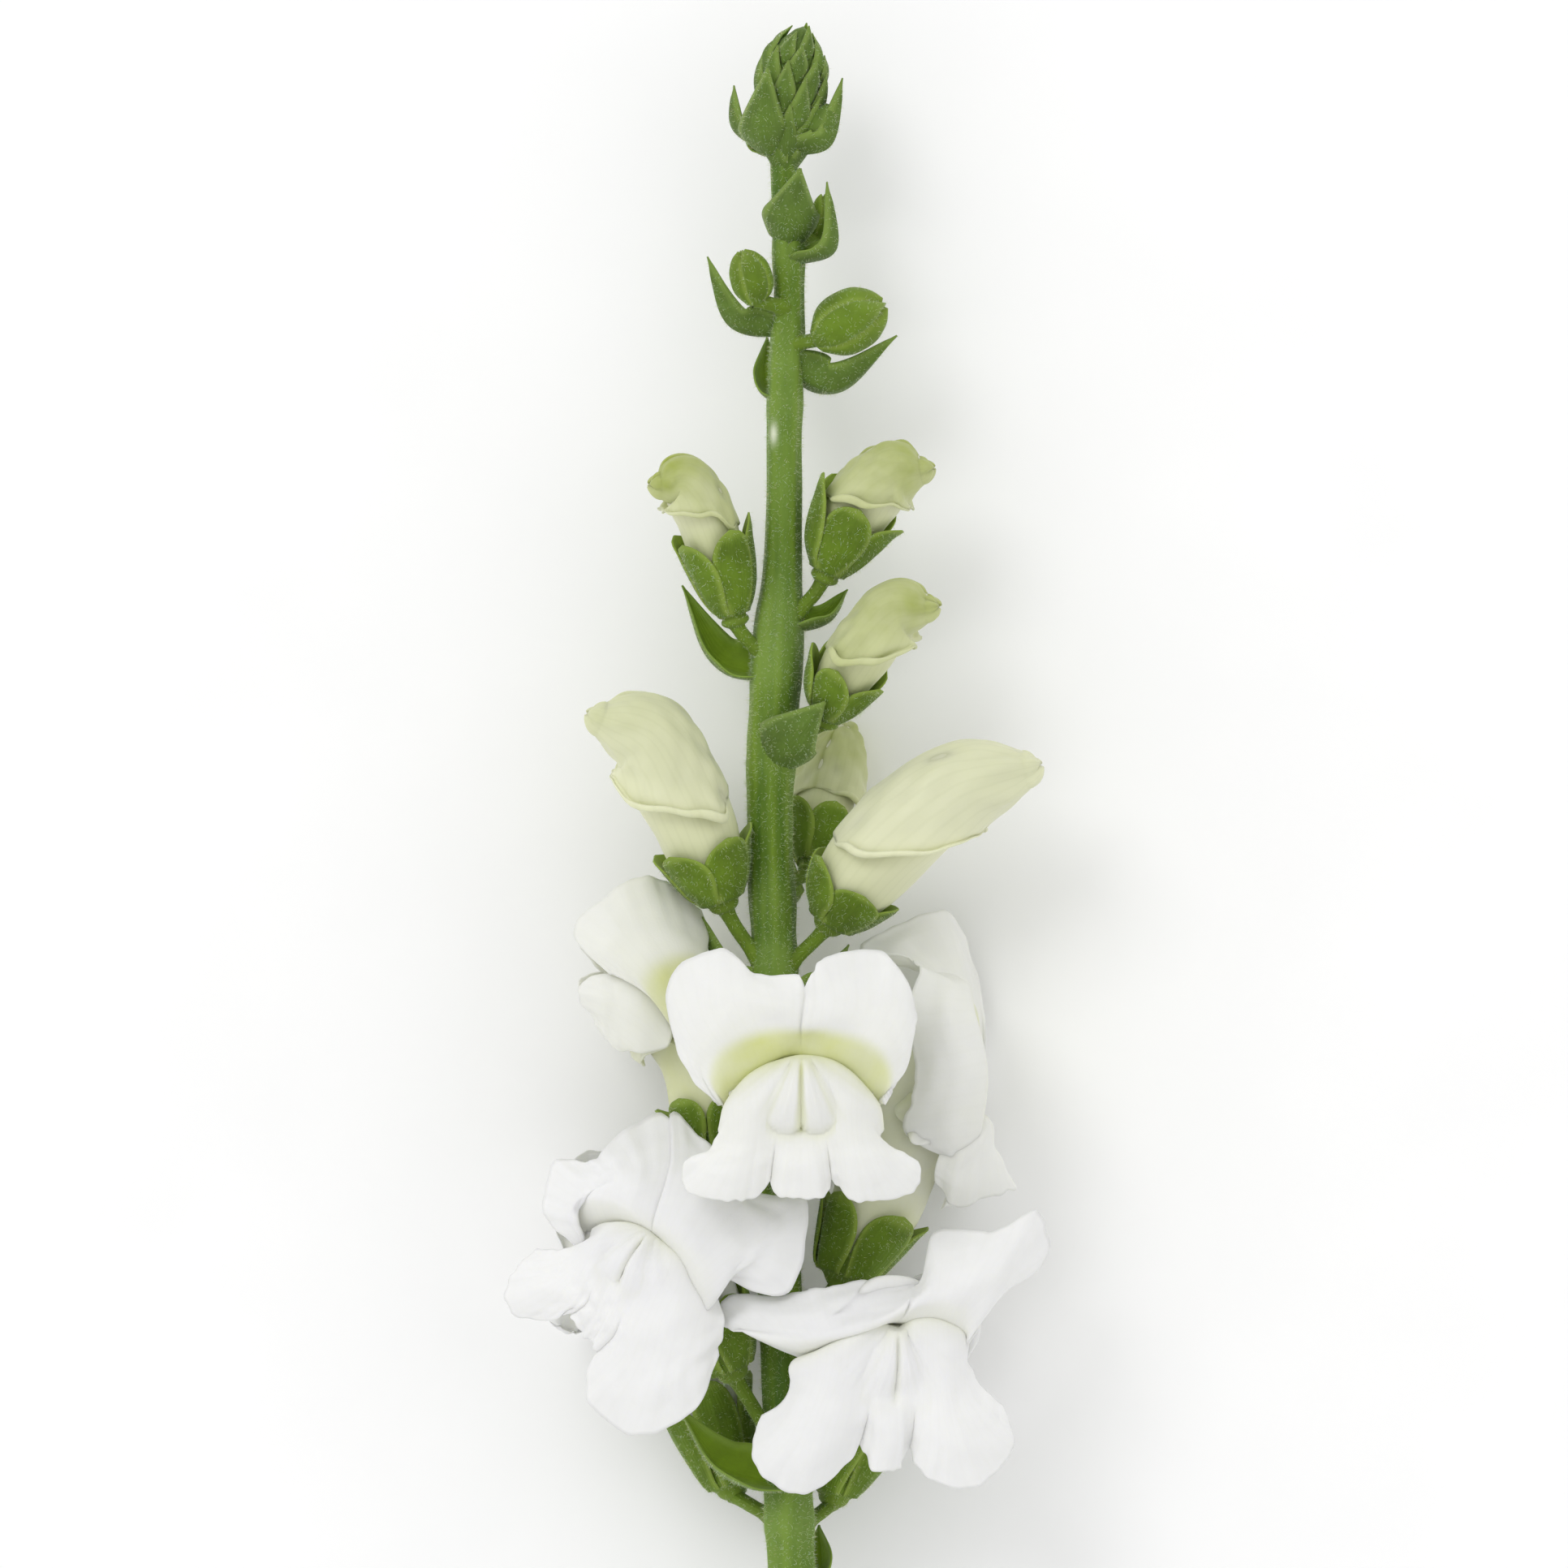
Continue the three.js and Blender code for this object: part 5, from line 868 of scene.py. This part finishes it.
def calyx(owner):
    """A bowl round the base of a tube, five broad sepals, each over the next one's edge, and the stalk."""
    body, path, radius = Body(), owner["path"], owner["radius"]
    sepals = {"long": 9, "open": 0.6, "first": 90, "half": SEPAL_HALF, **owner.get("sepals", {})}
    long, spread, length, half_angle = sepals["long"], sepals["open"], path.straight, sepals["half"]
    rng = np.random.default_rng(int(1000 * abs(owner["root"][0])) % 9973)

    sides, levels = 60, 14
    around = ring(sides)
    low = radius(np.zeros(1), around) + HUG
    high = radius(np.array([0.22 * long / length]), around) + HUG
    outline = [(-2.9, 0.5), (-2.6, 1.35), (-2.0, 2.05), (-1.2, 0.62 * low), (-0.4, 0.9 * low),
               (0.6, low + 0.1), (0.22 * long, high + 0.1)]
    bowl = np.stack([path.place(at / length, around, out) for at, out in outline])
    bowl = net_surface(bowl, np.linspace(0, 1, sides), np.linspace(0, 1, levels))
    body.sheet(bowl, BOWL_SHEET, wrap=True, hairy=True, tone=np.linspace(0.6, 0, levels)[:, None])

    u, v = np.linspace(-1, 1, 21)[None, :], shares(23)
    taper = np.maximum(1 - np.clip((v - 0.38) / 0.62, 0, 1) ** 2.3, 0.0016) ** 0.62
    width = (0.84 + 0.16 * step(0, 0.4, v)) * taper
    for k in range(5):
        tall, lean, loose = rng.uniform(-1, 1, 3)
        reach = v * long * (1 + 0.06 * tall) - 0.9 * (1 - v) ** 2
        angle = sepals["first"] + 72 * k + half_angle * u * width + 3 * lean * v
        s = reach / length
        over = 0.26 * (1 + u * width) * step(0, 0.2, v)
        arch = 0.34 * (1 - (u * width) ** 2) * step(0, 0.35, v)
        keel = 0.14 * bell(u, 0.08) * step(1, 0.8, v)
        veins = 0.05 * np.cos(9 * np.pi * u) * step(1, 0.5, v)
        gape = spread * (0.2 * v + 0.8 * v**2.2) * (1 + 0.5 * loose)
        curl = 0.35 * step(0.75, 1, v) * (1 + loose)
        r = radius(np.maximum(0, s), angle) + HUG + 0.1 + over + arch + keel + veins + gape + curl
        r = r - 0.5 * step(0.1, 0, v)
        half = radius(np.maximum(0, s), 0.0) * np.radians(half_angle) * width
        rim = step(0.9, 0.25, np.minimum((1 - np.abs(u)) * half, (1 - v) * 0.6 * long))
        body.sheet(path.place(s, angle, r), SEPAL_SHEET - 0.16 * rim, hairy=True, edge=rim)
    add_stalk(body, path.place(-2.3 / length, 0, 0), owner["root"])
    return body


# ---- closed buds ----
def closed_corolla(bud):
    """A closed corolla: the upper lip is a hood whose rolled free edge stands off the tube below it."""
    body, path, radius = Body(), bud["path"], bud["radius"]
    flare, girth, ripe = bud.get("flare", 1.0), bud["girth"], bud["ripe"]
    columns = 90
    angle = ring(columns)
    a = np.radians(angle)
    side, below = np.abs(np.cos(a)), np.maximum(0, -np.sin(a))
    free = step(0.95, 0.3, np.sin(a))
    seed = int(abs(bud["root"][0]) * 10)
    slant = 0.07 * np.sin(a) + 0.05 * np.sin(a + seed)
    ragged = 0.085 * free * ripple(angle / 360, seed, (2, 3, 5, 8))
    edge = HOOD_START + 0.22 * below**2 - 0.04 * side - slant + ragged
    uneven = 1 + 0.6 * ripple(angle / 360, seed + 2, (2, 3, 5))
    off = np.minimum(flare, 1.3) * (side + 0.6 * below) * free * uneven

    def rounded(s, r):
        """Closes rings at the tip with a small dome."""
        turn = np.radians(np.linspace(0, 90, 9)[1:-1, None])
        return (np.concatenate([s, s[-1:] + r[-1:] / path.length * 0.75 * np.sin(turn)]),
                np.concatenate([r, r[-1:] * np.cos(turn)]))

    s = np.linspace(-0.02, 0.97, 38)[:, None] * np.ones(columns)
    folds = 0.03 * girth * crinkle(a, s, seed + 1) * step(0.05, 0.4, s)
    s, r = rounded(s, radius(s, 0) + folds - 0.1 * step(0.5, 0.7, s))
    tone = np.clip(0.85 - 1.3 * s, 0.08, 1) * (1.1 - 0.8 * ripe)
    first = body.grid(path.place(s, angle, r), wrap=True, tone=tone)
    body.cap(first + (len(s) - 1) * columns, columns, path.place(1.01, 0, 0), turn=False)

    t = shares(42)
    s = edge - 0.02 + (1.02 - edge) * t
    out = off * flow([(0, 1), (0.3, 0.62), (0.65, 0.38), (0.9, 0.3), (1, 0.3)], t)
    wavy = 0.45 * flare * ripple(angle / 360, seed + 5, (3, 5, 8, 13)) * (1 - t) ** 3 * free
    crown = bell(angle - 90, 5)
    seam = -0.4 * crown * step(0.05, 0.4, t)
    tucks = 0.3 * step(0.55, 1, t) * np.sin(5 * a) * off / flare
    creases = 0.034 * girth * crinkle(2 * a, 1.6 * s, seed + 9, 9)
    r = radius(s, 0) + 0.12 + 0.2 * free + out + wavy + seam + tucks + creases
    turn = np.radians(np.linspace(230, 0, 9)[:-1, None])
    bend = 0.32 * flare * (0.25 + side) * free * (1 + 0.5 * ripple(angle / 360, seed + 7, (2, 3, 5)))
    roll_s, roll_r = s[:1] - bend / path.length * np.sin(turn), r[:1] + bend * (1 - np.cos(turn))
    s, r = rounded(np.concatenate([roll_s, s]), np.concatenate([roll_r, r]))
    depth = np.concatenate([np.zeros((8, 1)), t, np.ones((7, 1))])
    tone = (0.6 + 0.4 * depth) * (1 - 0.85 * ripe) * (1 - 0.35 * below) + 0.3 * crown * (1 - ripe)
    body.sheet(path.place(s, angle, r), HOOD_SHEET, wrap=True, tone=np.clip(tone, 0, 1))
    return body


def green_bud(bud):
    """A closed green bud: four sepals meet in seams and end in free points, on a stalk."""
    body = Body()
    path = through(bud["line"], (0, 0, 1))
    columns = 72
    angle = bud["first"] + 360 / columns * np.arange(columns)
    turn = ((angle - bud["first"]) % 90) / 90
    middle = np.sin(np.pi * turn)
    seam = bell(np.minimum(turn, 1 - turn), 0.07)
    v = shares(34)
    s = v * (0.95 + 0.11 * middle)
    rib = 0.035 * bell(turn - 0.5, 0.05)
    shape = flow([(0, 0.42), (0.2, 0.9), (0.5, 1.1), (0.8, 0.88), (0.94, 0.5), (1, 0.2)], v)
    r = bud["girth"] * shape * (0.9 + 0.13 * middle - 0.1 * seam + rib)
    edge = np.clip(1.4 * seam + 0.9 * v**6, 0, 1)
    first = body.grid(path.place(s, angle, r), wrap=True, hairy=True, edge=edge)
    body.cap(first + (len(v) - 1) * columns, columns, path.place(1.0, 0, 0), turn=False)
    body.cap(first, columns, path.place(-0.06, 0, 0), turn=True)
    add_stalk(body, path.place(0.1, 0, 0), bud["root"])
    return body


# ---- hairs ----
def hairs(bodies, name, density, length, seed):
    """Thin cones over the hairy faces of the bodies, with so many to a square millimetre."""
    rng = np.random.default_rng(seed)
    corners = []
    for body in bodies:
        points = np.concatenate(body.points)
        corners += [points[quads] for quads in body.hairy]
    quad = np.concatenate(corners)
    area = np.linalg.norm(np.cross(quad[:, 2] - quad[:, 0], quad[:, 3] - quad[:, 1]), axis=1) / 2
    count = int(area.sum() * density)
    pick = rng.choice(len(quad), count, p=area / area.sum())
    q = quad[pick]
    s, t = rng.random((count, 1)), rng.random((count, 1))
    at = (q[:, 0] * (1 - s) + q[:, 1] * s) * (1 - t) + (q[:, 3] * (1 - s) + q[:, 2] * s) * t
    normal = unit(np.cross(q[:, 1] - q[:, 0], q[:, 3] - q[:, 0]))
    way = unit(normal + 0.75 * rng.normal(size=(count, 3)))
    way = np.where((way * normal).sum(axis=1, keepdims=True) < 0.2, normal, way)
    side = unit(np.cross(way, rng.normal(size=(count, 3))))
    other = np.cross(way, side)
    long = length * rng.uniform(0.55, 1.25, (count, 1))
    root, turns = at - HAIR_ROOT * way, np.radians([0, 120, 240])
    foot = np.stack([root + HAIR_RADIUS * (side * np.cos(a) + other * np.sin(a)) for a in turns], axis=1)
    points = np.concatenate([foot, (at + way * long)[:, None]], axis=1).reshape(-1, 3)
    faces = (4 * np.arange(count)[:, None, None] + np.array([[0, 1, 3], [1, 2, 3], [2, 0, 3]])).reshape(-1, 3)
    place_piece(name, make_mesh(name, points, faces), [], HAIR)


# ---- materials ----
class Shade:
    """A node material, made by naming what goes into each node."""

    def __init__(self, name):
        self.material = bpy.data.materials.new(name)
        self.material.use_nodes = True
        self.tree = self.material.node_tree
        self.surface = self.tree.nodes["Principled BSDF"]

    def add(self, kind, inputs=None, **settings):
        made = self.tree.nodes.new(kind)
        for key, value in settings.items():
            setattr(made, key, value)
        for key, value in (inputs or {}).items():
            self.put(made.inputs[key], value)
        return made

    def put(self, socket, value):
        if isinstance(value, bpy.types.NodeSocket):
            self.tree.links.new(value, socket)
        else:
            socket.default_value = value

    def mark(self, name):
        return self.add("ShaderNodeAttribute", attribute_name=name).outputs["Fac"]

    def where(self, kind, scale):
        coordinates = self.add("ShaderNodeTexCoord").outputs[kind]
        return self.add("ShaderNodeMapping", {"Vector": coordinates, "Scale": scale}).outputs[0]

    def noise(self, scale, detail, stretch=(1, 1, 1), rough=0.5):
        at = self.where("Object", stretch)
        inputs = {"Vector": at, "Scale": scale, "Detail": detail, "Roughness": rough}
        return self.add("ShaderNodeTexNoise", inputs).outputs["Fac"]

    def waves(self, stretch, scale, distortion, **detail):
        """Lines along a sheet, across its UV map."""
        inputs = {"Vector": self.where("UV", stretch), "Scale": scale, "Distortion": distortion, **detail}
        return self.add("ShaderNodeTexWave", inputs, bands_direction="X").outputs["Fac"]

    def math(self, operation, *values):
        return self.add("ShaderNodeMath", dict(enumerate(values)), operation=operation).outputs[0]

    def spread(self, value, low, high, to_low=0.0, to_high=1.0):
        return self.add("ShaderNodeMapRange", {0: value, 1: low, 2: high, 3: to_low, 4: to_high}).outputs[0]

    def patches(self, low, high, a, b, *noise, **settings):
        """Colour a turning to b in patches of noise."""
        return self.mix(self.spread(self.noise(*noise, **settings), low, high), a, b)

    def over(self, base, mark, strength, colour):
        """A colour laid over the base where mark says, at a strength."""
        return self.mix(self.math("MULTIPLY", mark, strength), base, colour)

    def mix(self, share, a, b):
        made = self.add("ShaderNodeMix", data_type="RGBA")
        for socket, value in zip((made.inputs[0], made.inputs[6], made.inputs[7]), (share, a, b)):
            self.put(socket, value if isinstance(value, (bpy.types.NodeSocket, float)) else (*value, 1.0))
        return made.outputs[2]

    def bump(self, height, strength, distance):
        made = self.add("ShaderNodeBump", {"Height": height, "Strength": strength, "Distance": distance})
        self.put(self.surface.inputs["Normal"], made.outputs[0])

    def finish(self, **values):
        for key, value in values.items():
            self.put(self.surface.inputs[key.replace("_", " ")], value)
        return self.material


def petal_material(name, white, green, veins, vein_strength):
    """White to cream skin, greener where the tone mark says (in a lip's throat and creases partly painted
    shade), with faint veins.
    """
    shade = Shade(name)
    tone = shade.math("MULTIPLY", shade.mark("tone"), shade.spread(shade.noise(90, 3), 0.3, 0.7, 0.8, 1.15))
    colour = shade.mix(tone, white, green)
    mottle = shade.spread(shade.noise(260, 4), 0.35, 0.75, 0.0, 0.22)
    colour = shade.mix(mottle, colour, tuple(0.86 * c for c in white))
    bands = shade.waves((1, 0.3, 1), veins, 2.2, **{"Detail": 3.0, "Detail Scale": 1.6})
    lines = shade.spread(bands, 0.72, 1.0)
    colour = shade.over(colour, lines, vein_strength, tuple(0.62 * c for c in green))
    grain = shade.math("MULTIPLY", shade.noise(2600, 2), 0.35)
    shade.bump(shade.math("ADD", shade.math("MULTIPLY", lines, 0.12), grain), 0.2, 0.0002)
    return shade.finish(
        Base_Color=colour, Roughness=0.52, Subsurface_Weight=0.3, Subsurface_Scale=0.0016,
        Subsurface_Radius=(1.0, 1.0, 0.75), Sheen_Weight=0.12, Sheen_Roughness=0.45, Specular_IOR_Level=0.35)


def leaf_material(name, outer, inner, pale, fleck):
    """Green skin with darker and paler patches, pale margins, and a brighter inner face."""
    shade = Shade(name)
    base = shade.patches(0.35, 0.7, outer, tuple(0.68 * c for c in outer), 220, 4)
    flecks = shade.spread(shade.noise(1500, 2, rough=0.6), 0.6, 0.74)
    base = shade.over(base, flecks, 0.22, fleck)
    bright = shade.patches(0.35, 0.7, inner, tuple(0.8 * c for c in inner), 300, 3)
    colour = shade.mix(shade.mark("inner"), base, bright)
    colour = shade.over(colour, shade.mark("edge"), 0.5, pale)
    colour = shade.over(colour, shade.mark("tone"), 0.5, tuple(0.8 * c for c in pale))
    ribs = shade.math("MULTIPLY", shade.waves((1, 0.25, 1), 4.2, 1.2, Detail=2.0), 0.25)
    shade.bump(shade.math("ADD", ribs, shade.noise(1100, 3)), 0.45, 0.0003)
    return shade.finish(
        Base_Color=colour, Roughness=0.62, Subsurface_Weight=0.08, Subsurface_Scale=0.001,
        Subsurface_Radius=(0.6, 1.0, 0.3), Sheen_Weight=0.1, Sheen_Roughness=0.5, Specular_IOR_Level=0.18)


def stem_material():
    """Streaked green skin, paler at the knots, with a scar and the pith of the cut face."""
    shade = Shade("stem_skin")
    streaks = shade.noise(420, 4, stretch=(1, 0.06, 1))
    base = shade.mix(shade.spread(streaks, 0.35, 0.68), (0.06, 0.13, 0.008), (0.17, 0.27, 0.02))
    base = shade.mix(shade.spread(shade.noise(60, 3), 0.4, 0.7, 0.0, 0.55), base, (0.19, 0.3, 0.05))
    base = shade.over(base, shade.spread(shade.noise(1400, 2), 0.62, 0.75), 0.2, (0.42, 0.54, 0.26))
    base = shade.over(base, shade.mark("edge"), 0.25, (0.26, 0.38, 0.08))
    base = shade.mix(shade.mark("tone"), base, (0.72, 0.76, 0.6))
    pith = shade.patches(0.35, 0.7, (0.5, 0.6, 0.32), (0.62, 0.7, 0.42), 900, 3)
    colour = shade.mix(shade.mark("inner"), base, pith)
    grain = shade.math("MULTIPLY", shade.noise(1500, 2), 0.4)
    shade.bump(shade.math("ADD", streaks, grain), 0.4, 0.0003)
    return shade.finish(
        Base_Color=colour, Roughness=0.55, Subsurface_Weight=0.06, Subsurface_Scale=0.001,
        Subsurface_Radius=(0.6, 1.0, 0.3), Sheen_Weight=0.08, Specular_IOR_Level=0.2)


def hair_material():
    shade = Shade("plant_hair")
    colour = shade.patches(0.35, 0.7, (0.6, 0.72, 0.36), (0.8, 0.88, 0.6), 500, 2)
    return shade.finish(Base_Color=colour, Roughness=0.4, Subsurface_Weight=0.3, Subsurface_Scale=0.0005,
                        Specular_IOR_Level=0.3)


# ---- the plant ----
STEM_SKIN = stem_material()
BRACT_SKIN = leaf_material("bract_skin", outer=(0.115, 0.195, 0.026), inner=(0.2, 0.32, 0.014),
                           pale=(0.27, 0.38, 0.08), fleck=(0.33, 0.42, 0.2))
SEPAL_SKIN = leaf_material("sepal_skin", outer=(0.13, 0.22, 0.012), inner=(0.24, 0.36, 0.03),
                           pale=(0.33, 0.44, 0.08), fleck=(0.32, 0.42, 0.13))
PETAL_SKIN = petal_material("petal_skin", white=(0.85, 0.85, 0.835), green=(0.6, 0.64, 0.17),
                            veins=11.0, vein_strength=0.012)
BUD_SKIN = petal_material("bud_skin", white=(0.79, 0.8, 0.56), green=(0.28, 0.34, 0.02),
                          veins=8.0, vein_strength=0.04)
HAIR = hair_material()

for flower in FLOWERS:
    start, end = np.array(flower["base"], float), np.array(flower["mouth"], float)
    facing = unit(np.array(flower["facing"], float))
    straight = np.linalg.norm(end - start)
    flower["path"] = bezier([start, end - facing * flower.get("bend", 0.38) * straight, end], flower["up"])
    flower["path"].straight = straight
    flower["radius"] = lambda s, angle, plump=flower.get("plump", 1.0): plump * throat(s, angle)
    flower["sepals"] = {"half": FLOWER_SEPAL_HALF, **flower.get("sepals", {})}
for bud in BUDS:
    bud["path"] = through(bud["line"], bud["up"])
    bud["path"].straight = bud["path"].length
    bud["radius"] = lambda s, angle, girth=bud["girth"]: girth * flow(BUD_SHAPE, s) + 0 * angle

stem_bodies = [stem_axis(), bracts(), tip()]
for part, name, skin in zip(stem_bodies, ("axis", "bracts", "tip"), (STEM_SKIN, BRACT_SKIN, BRACT_SKIN)):
    part.build("stem_" + name, "stem", "stem_green", skin)

sepal_bodies = []
for owner in FLOWERS + BUDS:
    cup = calyx(owner)
    cup.build(owner["name"] + "_sepals", owner["name"] + "_calyx", "sepal_green", SEPAL_SKIN)
    sepal_bodies.append(cup)
for i, flower in enumerate(FLOWERS):
    name = flower["name"]
    Corolla(flower, 300 + 50 * i).build(name + "_corolla", name + "_petals", "petal_white", PETAL_SKIN)
for bud in BUDS:
    name = bud["name"]
    closed_corolla(bud).build(name + "_corolla", name + "_petals", "bud_cream", BUD_SKIN)
for bud in GREEN_BUDS:
    part = green_bud(bud)
    part.build(bud["name"] + "_sepals", bud["name"], "sepal_green", SEPAL_SKIN)
    sepal_bodies.append(part)

hairs(stem_bodies[:1], "stem_axis_hairs", density=3.6, length=0.72, seed=1)
hairs(stem_bodies[1:], "stem_leaf_hairs", density=2.4, length=0.6, seed=2)
hairs(sepal_bodies, "sepal_hairs", density=2.0, length=0.7, seed=3)

# ---- table, light and camera ----
FLOOR_REACH = 1.6
FLOOR_DROP = 0.00005
STUDIO_FILL = 0.92
floor = bpy.data.objects.new("floor", bpy.data.meshes.new("floor"))
corners = [(x * FLOOR_REACH, y * FLOOR_REACH, -FLOOR_DROP) for x, y in ((-1, -1), (1, -1), (1, 1), (-1, 1))]
floor.data.from_pydata(corners, [], [(0, 1, 2, 3)])
bpy.context.scene.collection.objects.link(floor)
paper = Shade("pale_table")
tint = paper.patches(0.3, 0.7, (0.95, 0.95, 0.95), (0.97, 0.97, 0.97), 30, 3)
floor.data.materials.append(paper.finish(Base_Color=tint, Roughness=0.8, Specular_IOR_Level=0.1))

world = bpy.data.worlds.new("studio")
world.use_nodes = True
background = world.node_tree.nodes["Background"].inputs
background["Color"].default_value = (1.0, 1.0, 1.0, 1.0)
background["Strength"].default_value = STUDIO_FILL
bpy.context.scene.world = world


def softbox(name, place, size, power):
    """A round soft light that faces the middle of the stem."""
    light = bpy.data.lights.new(name, "AREA")
    light.shape = "DISK"
    light.size = size
    light.energy = power
    made = bpy.data.objects.new(name, light)
    made.location = place
    made.rotation_euler = Vector(place).to_track_quat("Z", "Y").to_euler()
    bpy.context.scene.collection.objects.link(made)


softbox("key_light", place=(-1.7, 1.9, 3.4), size=1.8, power=34.0)

CAMERA_RISE = 2.4
SENSOR = 36.0
PHOTO_SIDE = 0.2415
camera = bpy.data.objects.new("camera", bpy.data.cameras.new("camera"))
camera.data.sensor_width = SENSOR
camera.data.lens = SENSOR * CAMERA_RISE / PHOTO_SIDE
camera.data.clip_end = 20.0
camera.location = (0.0, LIFT[1] * MM, LIFT[2] * MM + CAMERA_RISE)
bpy.context.scene.collection.objects.link(camera)
bpy.context.scene.camera = camera
bpy.context.scene.view_settings.view_transform = "Standard"
